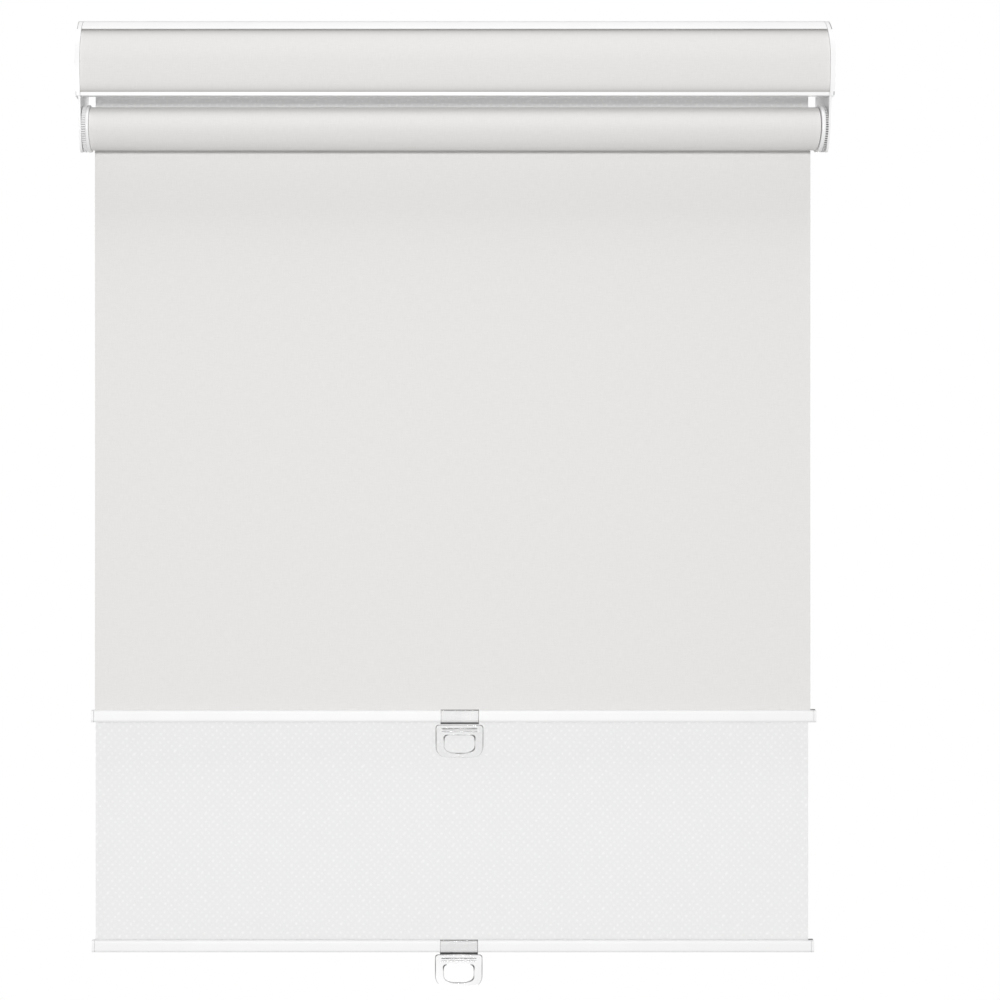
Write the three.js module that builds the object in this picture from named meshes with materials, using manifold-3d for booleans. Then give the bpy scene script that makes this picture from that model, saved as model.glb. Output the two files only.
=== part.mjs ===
// A double roller blind on two end brackets, without cords. The rear roller hides behind a convex
// valance and carries the light fabric. The front roller hangs bare below it and carries the denser
// fabric. Each roller is balanced by a torsion spring, so its blind stays wherever it is left.
//
// Millimetres. +X is right, +Y is towards the wall and +Z is up. The origin is on the wall plane,
// at the middle of the width and level with the top of the brackets.

import * as THREE from 'three';
import { mergeVertices } from 'three/addons/utils/BufferGeometryUtils.js';
import Module from 'manifold-3d';

const wasm = await Module();
wasm.setup();

// Overall sizes
const overallWidth = 864;
const fasciaDepth = 86;
const fasciaHeight = 91;

// Clearances that mating pieces share
const seatGap = 0.3;
const runningGap = 0.4;
const cutOverrun = 1;

// Valance outline: the nose is its foremost line, and the two edges lie behind it
const noseDrop = 50;
const topSetback = 28.6;
const bottomSetback = 4.2;
const fasciaWall = 1.4;
const facetLength = 5;
const insertRecess = 2.4;
const insertThickness = 0.6;
const topLipHeight = 12.5;
const bottomLipHeight = 4;
const bottomReturn = 7;
const topReturn = 20;

// End caps
const capWall = 2.7;
const capRim = 1.6;
const capBack = 8;
const capPegRadius = 2.1;
const capPegLength = 2;

// Brackets
const bracketThickness = 2.5;
const bendRadius = 2;
const flangeReach = 24;
const ceilingFlangeBack = 6;
const ceilingFlangeDepth = 30;
const wallFlangeTop = 8;
const wallFlangeHeight = 60;
const armBelowAxis = 28;
const armBackRise = 7;
const armBackMargin = 16;
const armFrontCorner = 12;
const armBackCorner = 10;
const screwHoleRadius = 2.4;
const screwSlotLength = 12;
const screwPitch = 38;
const tabReach = 14;
const topTabDepth = 12;
const lowerTabHeight = 10;

// Rollers: the rear one is the upper one
const tubeRadius = 19;
const tubeWall = 1.2;
const tubeKeyHeight = 1.3;
const tubeKeyWidth = 2.4;
const tubeKeys = 3;
const rearAxisDrop = 50;
const frontAxisDrop = 123.6;
const rearRollRadius = 22.2;
const frontRollRadius = 24.7;
const rearFabricStandoff = 14;
const frontFabricStandoff = 30.3;

// Serrated wheels
const wheelRadius = 27;
const wheelPlateGap = 1;
const wheelRollGap = 1;
const frontWheelWidth = 7.5;
const rearWheelWidth = 6;
const wheelWeb = 1.7;
const wheelRimDepth = 8;
const wheelBulge = 0.9;
const serrationWidth = 3.9;
const serrationInset = 0.4;
const serrationDepth = 1.3;
const serrations = 60;
const toothRiseShare = 0.26;
const toothTopShare = 0.48;

// Sockets, mandrels and pins
const socketRadius = 14;
const socketInset = 1.2;
const stubRadius = 5;
const tongueWidth = 8;
const tongueThickness = 3;
const mandrelRadius = 5;
const mandrelLength = 142;
const collarRadius = 12;
const collarWidth = 5;
const pinRadius = 4;
const pinLength = 32;
const pinEngagement = 3.6;
const pinChamfer = 0.8;

// Roller end plugs
const plugLength = 36;
const plugFlange = 1.4;
const plugGap = 0.3;

// Torsion spring
const springRadius = 9.2;
const springWire = 2.2;
const springPitch = 4.4;
const springCurls = 16;

// Fabrics
const frontFabricThickness = 0.56;
const rearFabricThickness = 0.4;
const frontBarDrop = 795.8;
const rearBarDrop = 1067.6;

// Hem bars
const barHeight = 14.1;
const barDepth = 10;
const barCorner = 3.2;
const barOverhang = 5;
const barShift = 1;
const barSlot = 2.2;
const splineGrooveRadius = 2.9;
const splineGrooveDepth = 5;
const splineRadius = 2.3;
const barHollowWidth = 6.4;
const barHollowHeight = 3.4;
const barFloor = 1.3;
const hemCapThickness = 3;
const hemCapPlug = 9;

// Pull handles
const handleShift = 8;
const clipWidth = 44.3;
const clipWall = 1.3;
const clipLip = 2.6;
const plateWidth = 55.7;
const plateHeight = 38.2;
const plateThickness = 2.6;
const plateNeck = 1.6;
const plateCorner = 3;
const plateBow = 4.5;
const holeWidth = 36.2;
const holeHeight = 21.4;
const holeDrop = 11.4;
const holeCorner = 4.5;
const holeShoulderShare = 1.6;
const ribHeight = 0.5;
const ribWidth = 1.1;
const ribDrops = [4.4, 7.6];

// Places that follow from the sizes above
const plateOuterX = overallWidth / 2 - capWall - seatGap;
const plateInnerX = plateOuterX - bracketThickness;
const fasciaEndX = plateInnerX - seatGap;
const wheelOuterX = plateInnerX - wheelPlateGap;
const rearAxisY = -(rearFabricStandoff + rearRollRadius);
const frontAxisY = -(frontFabricStandoff + frontRollRadius);
const tubeBore = tubeRadius - tubeWall;

const finishes = {
  whiteMetal: [0xf4f4f3, 0.42, 0.1],
  bracketMetal: [0xe6e6e6, 0.45, 0.2],
  whitePlastic: [0xf6f6f5, 0.38, 0],
  nylon: [0xe9e7e2, 0.5, 0],
  clearPlastic: [0xe8ebec, 0.12, 0],
  tubeMetal: [0xc4c7c9, 0.35, 0.9],
  springSteel: [0x8d9093, 0.3, 1],
  insertFabric: [0xe0dfdd, 0.9, 0],
  frontFabric: [0xe4e2e2, 0.92, 0],
  rearFabric: [0xededec, 0.9, 0],
};

function piece(name, finish, geometry) {
  const [color, roughness, metalness] = finishes[finish];
  const mesh = new THREE.Mesh(
    geometry,
    new THREE.MeshStandardMaterial({ color, roughness, metalness }),
  );
  mesh.name = name;
  return mesh;
}

// Vertices at one place are made one, and triangles that this closes up are dropped
function welded(geometry) {
  const bare = geometry.clone();
  bare.deleteAttribute('normal');
  bare.deleteAttribute('uv');
  const copy = mergeVertices(bare);
  const corners = copy.index.array;
  const kept = [];
  for (let i = 0; i < corners.length; i += 3) {
    const [a, b, c] = [corners[i], corners[i + 1], corners[i + 2]];
    if (a !== b && b !== c && c !== a) {
      kept.push(a, b, c);
    }
  }
  copy.setIndex(kept);
  return copy;
}

// Joining and cutting closed meshes
function solid(geometry) {
  const mesh = welded(geometry);
  const vertProperties = new Float32Array(mesh.attributes.position.array);
  const triVerts = new Uint32Array(mesh.index.array);
  return new wasm.Manifold(new wasm.Mesh({ numProp: 3, vertProperties, triVerts }));
}

function surface(manifold) {
  const { vertProperties, triVerts } = manifold.getMesh();
  const geometry = new THREE.BufferGeometry();
  geometry.setAttribute('position', new THREE.BufferAttribute(vertProperties, 3));
  geometry.setIndex(new THREE.BufferAttribute(triVerts, 1));
  geometry.computeVertexNormals();
  return geometry;
}

function join(...geometries) {
  return surface(geometries.map(solid).reduce((sum, next) => sum.add(next)));
}

function cut(geometry, ...tools) {
  return surface(tools.map(solid).reduce((rest, tool) => rest.subtract(tool), solid(geometry)));
}

// The same piece for the other end: X is negated and each face is turned round to point out
function mirrored(geometry) {
  const copy = welded(geometry);
  const places = copy.attributes.position;
  for (let i = 0; i < places.count; i += 1) {
    places.setX(i, -places.getX(i));
  }
  const corners = copy.index;
  for (let i = 0; i < corners.count; i += 3) {
    const second = corners.getX(i + 1);
    corners.setX(i + 1, corners.getX(i + 2));
    corners.setX(i + 2, second);
  }
  copy.computeVertexNormals();
  return copy;
}

// A shape carried straight through a depth. Its outline runs anticlockwise and its holes clockwise,
// whichever way they were drawn, and points that fall together are made one.
function carried(shape, depth, curveSegments) {
  const drawn = shape.extractPoints(curveSegments);
  const spaced = (points) => points.filter((point, i) => (
    point.distanceTo(points[(i + 1) % points.length]) > Number.EPSILON ** 0.5
  ));
  const turnedRight = (points, clockwise) => (
    THREE.ShapeUtils.isClockWise(points) === clockwise ? points : points.reverse()
  );
  const clean = new THREE.Shape(turnedRight(spaced(drawn.shape), false));
  clean.holes = drawn.holes.map((hole) => new THREE.Path(turnedRight(spaced(hole), true)));
  return new THREE.ExtrudeGeometry(clean, { depth, bevelEnabled: false });
}

// A shape drawn in (Y, Z) and carried along X
function alongX(shape, fromX, toX, curveSegments = 8) {
  const axes = new THREE.Matrix4().makeBasis(
    new THREE.Vector3(0, 1, 0),
    new THREE.Vector3(0, 0, 1),
    new THREE.Vector3(1, 0, 0),
  );
  return carried(shape, toX - fromX, curveSegments).applyMatrix4(axes).translate(fromX, 0, 0);
}

// A shape drawn in (X, Z) and carried along Y
function alongY(shape, fromY, toY, curveSegments = 8) {
  return carried(shape, toY - fromY, curveSegments).rotateX(Math.PI / 2).translate(0, toY, 0);
}

// A shape drawn in (X, Y) and carried along Z
function alongZ(shape, fromZ, toZ, curveSegments = 8) {
  return carried(shape, toZ - fromZ, curveSegments).translate(0, 0, fromZ);
}

// A closed outline of (radius, x) points turned about the X axis
function turned(outline, segments = 32) {
  const points = outline.map(([radius, x]) => new THREE.Vector2(radius, x));
  const closed = outline[0][0] === 0 ? points : [...points, points[0].clone()];
  const geometry = new THREE.LatheGeometry(closed, segments);
  const axes = new THREE.Matrix4().makeBasis(
    new THREE.Vector3(0, 0, 1),
    new THREE.Vector3(1, 0, 0),
    new THREE.Vector3(0, 1, 0),
  );
  return geometry.applyMatrix4(axes);
}

function rod(radius, fromX, toX, segments = 20) {
  return turned([[0, fromX], [radius, fromX], [radius, toX], [0, toX]], segments);
}

function box(fromX, toX, fromY, toY, fromZ, toZ) {
  return new THREE.BoxGeometry(toX - fromX, toY - fromY, toZ - fromZ)
    .translate((fromX + toX) / 2, (fromY + toY) / 2, (fromZ + toZ) / 2);
}

// A rectangle with round corners, by its middle and its half sizes
function roundedRectangle(middleA, middleB, halfA, halfB, corner, target = new THREE.Shape()) {
  const left = middleA - halfA;
  const right = middleA + halfA;
  const low = middleB - halfB;
  const high = middleB + halfB;
  const quarter = Math.PI / 2;
  target.moveTo(left + corner, low);
  target.lineTo(right - corner, low);
  target.absarc(right - corner, low + corner, corner, -quarter, 0, false);
  target.lineTo(right, high - corner);
  target.absarc(right - corner, high - corner, corner, 0, quarter, false);
  target.lineTo(left + corner, high);
  target.absarc(left + corner, high - corner, corner, quarter, 2 * quarter, false);
  target.lineTo(left, low + corner);
  target.absarc(left + corner, low + corner, corner, 2 * quarter, 3 * quarter, false);
  return target;
}

// The valance's front is one arc above the nose and one below it. Each radius follows from how far
// the edge lies behind the nose.
function frontArc(above) {
  const reach = above ? noseDrop : fasciaHeight - noseDrop;
  const setback = above ? topSetback : bottomSetback;
  const radius = (reach * reach + setback * setback) / (2 * setback);
  return { radius, middleY: radius - fasciaDepth };
}

// The front line at a height, moved in by an inset
function frontLine(z, inset) {
  const rise = z + noseDrop;
  const { radius, middleY } = frontArc(rise > 0);
  return middleY - Math.sqrt((radius - inset) ** 2 - rise * rise);
}

// Points along the front line, evenly spaced by their distance along the arcs from the nose
function frontPoints(fromZ, toZ, inset) {
  const along = (z) => {
    const rise = z + noseDrop;
    const { radius } = frontArc(rise > 0);
    return radius * Math.asin(rise / (radius - inset));
  };
  const first = along(fromZ);
  const last = along(toZ);
  const steps = Math.ceil(Math.abs(last - first) / facetLength);
  return Array.from({ length: steps + 1 }, (_, i) => {
    const distance = first + ((last - first) * i) / steps;
    const { radius, middleY } = frontArc(distance > 0);
    const turn = distance / radius;
    return new THREE.Vector2(
      middleY - (radius - inset) * Math.cos(turn),
      (radius - inset) * Math.sin(turn) - noseDrop,
    );
  });
}

function makeFascia() {
  const lipEnd = -topLipHeight;
  const lowerLip = bottomLipHeight - fasciaHeight;
  const innerInset = insertRecess + fasciaWall;
  const topBack = frontLine(0, 0) + topReturn;
  const lowInner = fasciaWall - fasciaHeight;
  const hemBack = frontLine(-fasciaHeight, 0) + bottomReturn;
  const outline = [
    new THREE.Vector2(topBack, 0),
    ...frontPoints(0, lipEnd, 0),
    ...frontPoints(lipEnd, lowerLip, insertRecess),
    ...frontPoints(lowerLip, -fasciaHeight, 0),
    new THREE.Vector2(hemBack, -fasciaHeight),
    new THREE.Vector2(hemBack, lowInner),
    ...frontPoints(lowInner, -fasciaWall, innerInset),
    new THREE.Vector2(topBack, -fasciaWall),
  ];
  return alongX(new THREE.Shape(outline), -fasciaEndX, fasciaEndX);
}

function makeFasciaInsert() {
  const high = -topLipHeight - seatGap;
  const low = bottomLipHeight - fasciaHeight + seatGap;
  const back = insertRecess - seatGap / 2;
  const outline = [
    ...frontPoints(high, low, back - insertThickness),
    ...frontPoints(low, high, back),
  ];
  return alongX(new THREE.Shape(outline), seatGap - fasciaEndX, fasciaEndX - seatGap);
}

// The cap's pegs enter holes in the bracket at these places
function pegPlaces() {
  const forward = frontLine(-noseDrop, 0) + topReturn;
  return [[forward, -noseDrop / 2], [forward, -noseDrop], [-capBack - topReturn / 2, -noseDrop]];
}

function makeEndCap() {
  const cheek = new THREE.Shape([
    new THREE.Vector2(-capBack, 0),
    ...frontPoints(0, -fasciaHeight, 0),
    new THREE.Vector2(-capBack, -fasciaHeight),
  ]);
  const rimBack = frontLine(0, 0) + topReturn;
  const rim = new THREE.Shape([
    new THREE.Vector2(rimBack, 0),
    ...frontPoints(0, -fasciaHeight, 0),
    ...frontPoints(-fasciaHeight, -capRim, capRim),
    new THREE.Vector2(rimBack, -capRim),
  ]);
  const outerX = overallWidth / 2;
  const innerX = outerX - capWall;
  const pegs = pegPlaces().map(([y, z]) => (
    rod(capPegRadius, innerX - capPegLength, innerX + capWall / 2, 16).translate(0, y, z)
  ));
  return join(
    alongX(cheek, innerX, outerX),
    alongX(rim, fasciaEndX + seatGap, outerX),
    ...pegs,
  );
}

// The bracket's outline: it follows the valance above, and tapers to a round-cornered foot that
// carries the bare roller below. The foot's heel lies higher than its toe.
function bracketOutline() {
  const inset = capRim + seatGap;
  const stepBack = frontLine(0, 0) + topReturn + seatGap;
  const footZ = -frontAxisDrop - armBelowAxis;
  const backY = -armBackMargin;
  const shoulderZ = -wallFlangeTop - wallFlangeHeight;
  const heelZ = footZ + armBackRise;
  const footFrontY = frontAxisY - armFrontCorner;
  const halfCorner = armFrontCorner / 2;
  const shape = new THREE.Shape();
  shape.moveTo(0, 0);
  shape.lineTo(stepBack, 0);
  shape.lineTo(stepBack, -inset);
  frontPoints(-inset, -fasciaHeight, inset).forEach((point) => shape.lineTo(point.x, point.y));
  shape.quadraticCurveTo(footFrontY - halfCorner, footZ, footFrontY + halfCorner, footZ);
  shape.lineTo(backY - armBackCorner, heelZ);
  shape.quadraticCurveTo(backY, heelZ, backY, heelZ + armBackCorner);
  shape.lineTo(backY, shoulderZ - armBackMargin / 2);
  shape.lineTo(0, shoulderZ);
  shape.closePath();
  const holes = [[rearAxisY, -rearAxisDrop], [frontAxisY, -frontAxisDrop]];
  holes.forEach(([y, z]) => {
    shape.holes.push(new THREE.Path().absarc(y, z, stubRadius + seatGap, 0, 2 * Math.PI, true));
  });
  pegPlaces().forEach(([y, z]) => {
    shape.holes.push(new THREE.Path().absarc(y, z, capPegRadius + seatGap, 0, 2 * Math.PI, true));
  });
  return shape;
}

// The L of a bent flange, with its outer corner at the plate's outer face: it runs inwards along X
// and its stub joins the plate along the other coordinate
function bentFlange(stub) {
  const outer = bendRadius + bracketThickness;
  const middleX = plateOuterX - outer;
  const quarter = Math.PI / 2;
  const shape = new THREE.Shape();
  shape.moveTo(plateOuterX - flangeReach, 0);
  shape.lineTo(middleX, 0);
  shape.absarc(middleX, -outer, outer, quarter, 0, true);
  shape.lineTo(plateOuterX, -stub);
  shape.lineTo(plateInnerX, -stub);
  shape.absarc(middleX, -outer, bendRadius, 0, quarter, false);
  shape.lineTo(plateOuterX - flangeReach, -bracketThickness);
  shape.closePath();
  return shape;
}

// A slot for a screw, long in the first coordinate
function screwSlot(middleA, middleB) {
  const half = screwSlotLength / 2 - screwHoleRadius;
  const quarter = Math.PI / 2;
  const shape = new THREE.Shape();
  shape.moveTo(middleA - half, middleB - screwHoleRadius);
  shape.lineTo(middleA + half, middleB - screwHoleRadius);
  shape.absarc(middleA + half, middleB, screwHoleRadius, -quarter, quarter, false);
  shape.lineTo(middleA - half, middleB + screwHoleRadius);
  shape.absarc(middleA - half, middleB, screwHoleRadius, quarter, 3 * quarter, false);
  return shape;
}

function makeBracket() {
  const bend = bendRadius + bracketThickness;
  const stub = bend + cutOverrun;
  const ceilingFront = -ceilingFlangeBack - ceilingFlangeDepth;
  const wallLow = -wallFlangeTop - wallFlangeHeight;
  const acrossX = [plateInnerX - cutOverrun, plateOuterX + cutOverrun];
  const openEdges = cut(
    alongX(bracketOutline(), plateInnerX, plateOuterX, 6),
    box(...acrossX, ceilingFront, -ceilingFlangeBack, -bend, cutOverrun),
    box(...acrossX, -bend, cutOverrun, wallLow, -wallFlangeTop),
  );
  const slotX = plateInnerX - flangeReach / 2;
  const ceilingSlots = [-1, 1].map((end) => {
    const middle = ceilingFront + ceilingFlangeDepth / 2 + (end * ceilingFlangeDepth) / 4;
    return screwSlot(slotX, middle);
  }).map((shape) => alongZ(shape, -bracketThickness - cutOverrun, cutOverrun, 4));
  const wallSlots = [-1, 1].map((end) => {
    const middle = (wallLow - wallFlangeTop) / 2 + (end * screwPitch) / 2;
    return screwSlot(slotX, middle);
  }).map((shape) => alongY(shape, -bracketThickness - cutOverrun, cutOverrun, 4));
  const tabX = [plateInnerX - tabReach, plateInnerX + cutOverrun];
  const tabHigh = -fasciaWall - runningGap;
  const topTabFront = frontLine(0, 0) + topReturn / 4;
  const lowerTabLow = bottomLipHeight - fasciaHeight;
  const lowerTabFront = frontLine(lowerTabLow, insertRecess + fasciaWall + runningGap);
  const whole = join(
    openEdges,
    alongY(bentFlange(stub), ceilingFront, -ceilingFlangeBack, 4),
    alongZ(bentFlange(stub), wallLow, -wallFlangeTop, 4),
    box(...tabX, topTabFront, topTabFront + topTabDepth, tabHigh - bracketThickness, tabHigh),
    box(
      ...tabX, lowerTabFront + runningGap, lowerTabFront + runningGap + bracketThickness,
      lowerTabLow, lowerTabLow + lowerTabHeight,
    ),
  );
  return cut(whole, ...ceilingSlots, ...wallSlots);
}

// A socket is riveted to the bracket's inner face by a stub through the plate
function socketBody(axisX) {
  const face = plateInnerX - seatGap / 2;
  return turned([
    [0, axisX],
    [socketRadius - socketInset, axisX],
    [socketRadius, axisX + socketInset],
    [socketRadius, face],
    [stubRadius, face],
    [stubRadius, plateOuterX],
    [0, plateOuterX],
  ], 24);
}

function makeSpringSocket(wheelInnerX) {
  const mouth = wheelInnerX + wheelWeb + socketInset;
  const depth = mouth + pinEngagement + runningGap;
  const half = tongueThickness / 2 + runningGap;
  const halfTall = tongueWidth / 2 + runningGap;
  return cut(
    socketBody(mouth),
    box(mouth - cutOverrun, depth, -half, half, -halfTall, socketRadius + cutOverrun),
  );
}

function makeIdleSocket(wheelInnerX) {
  const mouth = wheelInnerX + wheelWeb + socketInset;
  const depth = mouth + pinEngagement + runningGap;
  return mirrored(cut(socketBody(mouth), rod(pinRadius + runningGap, mouth - cutOverrun, depth)));
}

// The mandrel stays still: its collar holds one end of the spring and its tongue sits in the socket
function makeSpringMandrel(wheelInnerX) {
  const tip = wheelInnerX + wheelWeb + socketInset + pinEngagement;
  const shoulder = wheelInnerX + wheelWeb;
  const start = shoulder - mandrelLength;
  const shaft = turned([
    [0, start],
    [collarRadius, start],
    [collarRadius, start + collarWidth],
    [mandrelRadius, start + collarWidth],
    [mandrelRadius, shoulder],
    [0, shoulder],
  ], 24);
  const tongue = box(
    shoulder - cutOverrun, tip,
    -tongueThickness / 2, tongueThickness / 2, -tongueWidth / 2, tongueWidth / 2,
  );
  return join(shaft, tongue);
}

// The spring is one wire: each end runs along X for one wire thickness and then winds
function springPath(startX) {
  const stepsPerCurl = 8;
  const points = [new THREE.Vector3(startX, springRadius, 0)];
  const firstX = startX + springWire;
  for (let i = 0; i <= springCurls * stepsPerCurl; i += 1) {
    const turn = (2 * Math.PI * i) / stepsPerCurl;
    const x = firstX + (springPitch * i) / stepsPerCurl;
    points.push(new THREE.Vector3(x, springRadius * Math.cos(turn), springRadius * Math.sin(turn)));
  }
  const last = points[points.length - 1];
  points.push(new THREE.Vector3(last.x + springWire, last.y, last.z));
  return points;
}

const springLength = 2 * springWire + springPitch * springCurls;

function leastSpringGap(points) {
  const apart = 5;
  let least = Infinity;
  points.forEach((point, i) => {
    points.slice(i + apart).forEach((other) => {
      least = Math.min(least, point.distanceTo(other));
    });
  });
  return least - springWire;
}

function makeTorsionSpring(wheelInnerX) {
  const collarEnd = wheelInnerX + wheelWeb - mandrelLength + collarWidth;
  const points = springPath(collarEnd + seatGap);
  const sides = 5;
  const places = [];
  points.forEach((point, i) => {
    const before = points[Math.max(i - 1, 0)];
    const after = points[Math.min(i + 1, points.length - 1)];
    const ahead = after.clone().sub(before).normalize();
    const outward = new THREE.Vector3(0, point.y, point.z).normalize();
    const across = ahead.clone().cross(outward).normalize();
    for (let side = 0; side < sides; side += 1) {
      const turn = (2 * Math.PI * side) / sides;
      const corner = point.clone()
        .addScaledVector(outward, (springWire / 2) * Math.cos(turn))
        .addScaledVector(across, (springWire / 2) * Math.sin(turn));
      places.push(corner.x, corner.y, corner.z);
    }
  });
  const faces = [];
  for (let ring = 0; ring < points.length - 1; ring += 1) {
    for (let side = 0; side < sides; side += 1) {
      const a = ring * sides + side;
      const b = ring * sides + ((side + 1) % sides);
      faces.push(a, b, b + sides, a, b + sides, a + sides);
    }
  }
  const lastRing = (points.length - 1) * sides;
  for (let side = 1; side < sides - 1; side += 1) {
    faces.push(0, side + 1, side);
    faces.push(lastRing, lastRing + side, lastRing + side + 1);
  }
  const geometry = new THREE.BufferGeometry();
  geometry.setAttribute('position', new THREE.Float32BufferAttribute(places, 3));
  geometry.setIndex(faces);
  geometry.computeVertexNormals();
  return geometry;
}

// The tube has keys along its bore, and the end plugs have grooves that ride on them
function keyBoxes(fromX, toX, clearance) {
  const half = tubeKeyWidth / 2 + clearance;
  const foot = tubeBore - tubeKeyHeight - clearance;
  return Array.from({ length: tubeKeys }, (_, i) => (
    box(fromX, toX, -half, half, foot, tubeBore + tubeWall / 2)
      .rotateX((2 * Math.PI * i) / tubeKeys)
  ));
}

function makeRollerTube(endX) {
  const ring = turned([[tubeBore, -endX], [tubeRadius, -endX], [tubeRadius, endX], [tubeBore, endX]], 32);
  return join(ring, ...keyBoxes(-endX, endX, 0));
}

function makePlug(endX, bore) {
  const fromX = endX - plugLength;
  const flangeX = endX + plugGap;
  const body = turned([
    [bore, fromX],
    [tubeBore - plugGap - socketInset, fromX],
    [tubeBore - plugGap, fromX + socketInset],
    [tubeBore - plugGap, flangeX],
    [tubeRadius - plugGap, flangeX],
    [tubeRadius - plugGap, flangeX + plugFlange],
    [bore, flangeX + plugFlange],
  ], 24);
  return cut(body, ...keyBoxes(fromX - cutOverrun, flangeX, plugGap));
}

// The wound fabric: only its outer layer winds, and its free edge is the step at the back where
// the hanging fabric leaves it
function makeFabricRoll(rollRadius, thickness, halfWidth) {
  const steps = 48;
  const step = thickness + plugGap;
  const shape = new THREE.Shape();
  for (let i = 0; i <= steps; i += 1) {
    const turn = (-2 * Math.PI * i) / steps;
    const radius = rollRadius - step + (step * i) / steps;
    const y = radius * Math.cos(turn);
    const z = radius * Math.sin(turn);
    if (i === 0) {
      shape.moveTo(y, z);
    } else {
      shape.lineTo(y, z);
    }
  }
  shape.closePath();
  const bore = new THREE.Path().absarc(0, 0, tubeRadius + plugGap, 0, 2 * Math.PI, true);
  shape.holes.push(bore);
  return alongX(shape, -halfWidth, halfWidth, 14);
}

// A smooth bulged flange beside a serrated ring, and a cup round the socket
function makeWheel(width, bore) {
  const bulge = wheelRadius - wheelBulge;
  const ringTip = bulge - serrationInset;
  const ringRoot = ringTip - serrationDepth;
  const smoothWidth = width - serrationWidth;
  const cup = wheelRadius - wheelRimDepth;
  const flange = turned([
    [bore, 0],
    [bulge, 0],
    [wheelRadius, smoothWidth / 2],
    [bulge, smoothWidth],
    [cup, smoothWidth],
    [cup, wheelWeb],
    [bore, wheelWeb],
  ], 32);
  const outline = new THREE.Shape();
  const corners = [
    [0, ringRoot],
    [toothRiseShare, ringTip],
    [toothRiseShare + toothTopShare, ringTip],
  ];
  for (let tooth = 0; tooth < serrations; tooth += 1) {
    corners.forEach(([share, radius], corner) => {
      const turn = (2 * Math.PI * (tooth + share)) / serrations;
      const y = radius * Math.cos(turn);
      const z = radius * Math.sin(turn);
      if (tooth === 0 && corner === 0) {
        outline.moveTo(y, z);
      } else {
        outline.lineTo(y, z);
      }
    });
  }
  outline.closePath();
  outline.holes.push(new THREE.Path().absarc(0, 0, cup, 0, 2 * Math.PI, true));
  const ring = alongX(outline, smoothWidth, width, 16);
  return join(flange, ring);
}

function makeIdlePin(wheelInnerX) {
  const tip = wheelInnerX + wheelWeb + socketInset + pinEngagement;
  return mirrored(turned([
    [0, tip - pinLength],
    [pinRadius, tip - pinLength],
    [pinRadius, tip - pinChamfer],
    [pinRadius - pinChamfer, tip],
    [0, tip],
  ], 24));
}

// Everything on one roller, about its own axis
function makeRoller(blind) {
  const { name, wheelWidth, rollRadius, thickness } = blind;
  const wheelInnerX = wheelOuterX - wheelWidth;
  const rollEndX = wheelInnerX - wheelRollGap;
  const tubeEndX = rollEndX - plugFlange;
  const roller = new THREE.Group();
  const mandrelBore = mandrelRadius + runningGap;
  const pinBore = pinRadius + runningGap;
  roller.position.set(0, blind.axisY, -blind.axisDrop);
  roller.add(
    piece(`${name}_roller_tube`, 'tubeMetal', makeRollerTube(tubeEndX)),
    piece(`${name}_fabric_roll`, `${name}Fabric`, makeFabricRoll(rollRadius, thickness, rollEndX)),
    piece(`${name}_drive_plug`, 'nylon', makePlug(tubeEndX, mandrelBore)),
    piece(`${name}_idle_plug`, 'nylon', mirrored(makePlug(tubeEndX, pinBore))),
    piece(
      `${name}_tension_wheel`, 'whitePlastic',
      makeWheel(wheelWidth, mandrelBore).translate(wheelInnerX, 0, 0),
    ),
    piece(
      `${name}_idle_wheel`, 'whitePlastic',
      mirrored(makeWheel(wheelWidth, pinBore).translate(wheelInnerX, 0, 0)),
    ),
    piece(`${name}_spring_socket`, 'nylon', makeSpringSocket(wheelInnerX)),
    piece(`${name}_idle_socket`, 'nylon', makeIdleSocket(wheelInnerX)),
    piece(`${name}_spring_mandrel`, 'nylon', makeSpringMandrel(wheelInnerX)),
    piece(`${name}_torsion_spring`, 'springSteel', makeTorsionSpring(wheelInnerX)),
    piece(`${name}_idle_pin`, 'springSteel', makeIdlePin(wheelInnerX)),
  );
  return roller;
}

// The hem bar's section about the middle of its top edge: a slot leads into a round groove for the
// spline, and a hollow below takes the end caps' plugs
function barOutline() {
  const half = barDepth / 2;
  const halfSlot = barSlot / 2;
  const quarter = Math.PI / 2;
  const opening = Math.asin(halfSlot / splineGrooveRadius);
  const shape = new THREE.Shape();
  shape.moveTo(halfSlot, 0);
  shape.lineTo(half - barCorner, 0);
  shape.absarc(half - barCorner, -barCorner, barCorner, quarter, 0, true);
  shape.lineTo(half, barCorner - barHeight);
  shape.absarc(half - barCorner, barCorner - barHeight, barCorner, 0, -quarter, true);
  shape.lineTo(barCorner - half, -barHeight);
  shape.absarc(barCorner - half, barCorner - barHeight, barCorner, -quarter, -2 * quarter, true);
  shape.lineTo(-half, -barCorner);
  shape.absarc(barCorner - half, -barCorner, barCorner, 2 * quarter, quarter, true);
  shape.lineTo(-halfSlot, 0);
  shape.absarc(
    0, -splineGrooveDepth, splineGrooveRadius,
    quarter + opening, 5 * quarter - opening, false,
  );
  shape.closePath();
  return shape;
}

function barHollow(clearance, target) {
  const halfTall = barHollowHeight / 2;
  const middle = -barHeight + barFloor + halfTall;
  const corner = halfTall / 2;
  return roundedRectangle(
    0, middle, barHollowWidth / 2 - clearance, halfTall - clearance, corner, target,
  );
}

function makeHemBar(halfLength) {
  const shape = barOutline();
  shape.holes.push(barHollow(0, new THREE.Path()));
  return alongX(shape, -halfLength, halfLength, 4);
}

function makeHemCap(halfLength) {
  const cheek = roundedRectangle(0, -barHeight / 2, barDepth / 2, barHeight / 2, barCorner);
  const fromX = halfLength + seatGap;
  return join(
    alongX(cheek, fromX, fromX + hemCapThickness, 5),
    alongX(barHollow(seatGap, new THREE.Shape()), fromX - hemCapPlug, fromX + seatGap, 5),
  );
}

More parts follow.
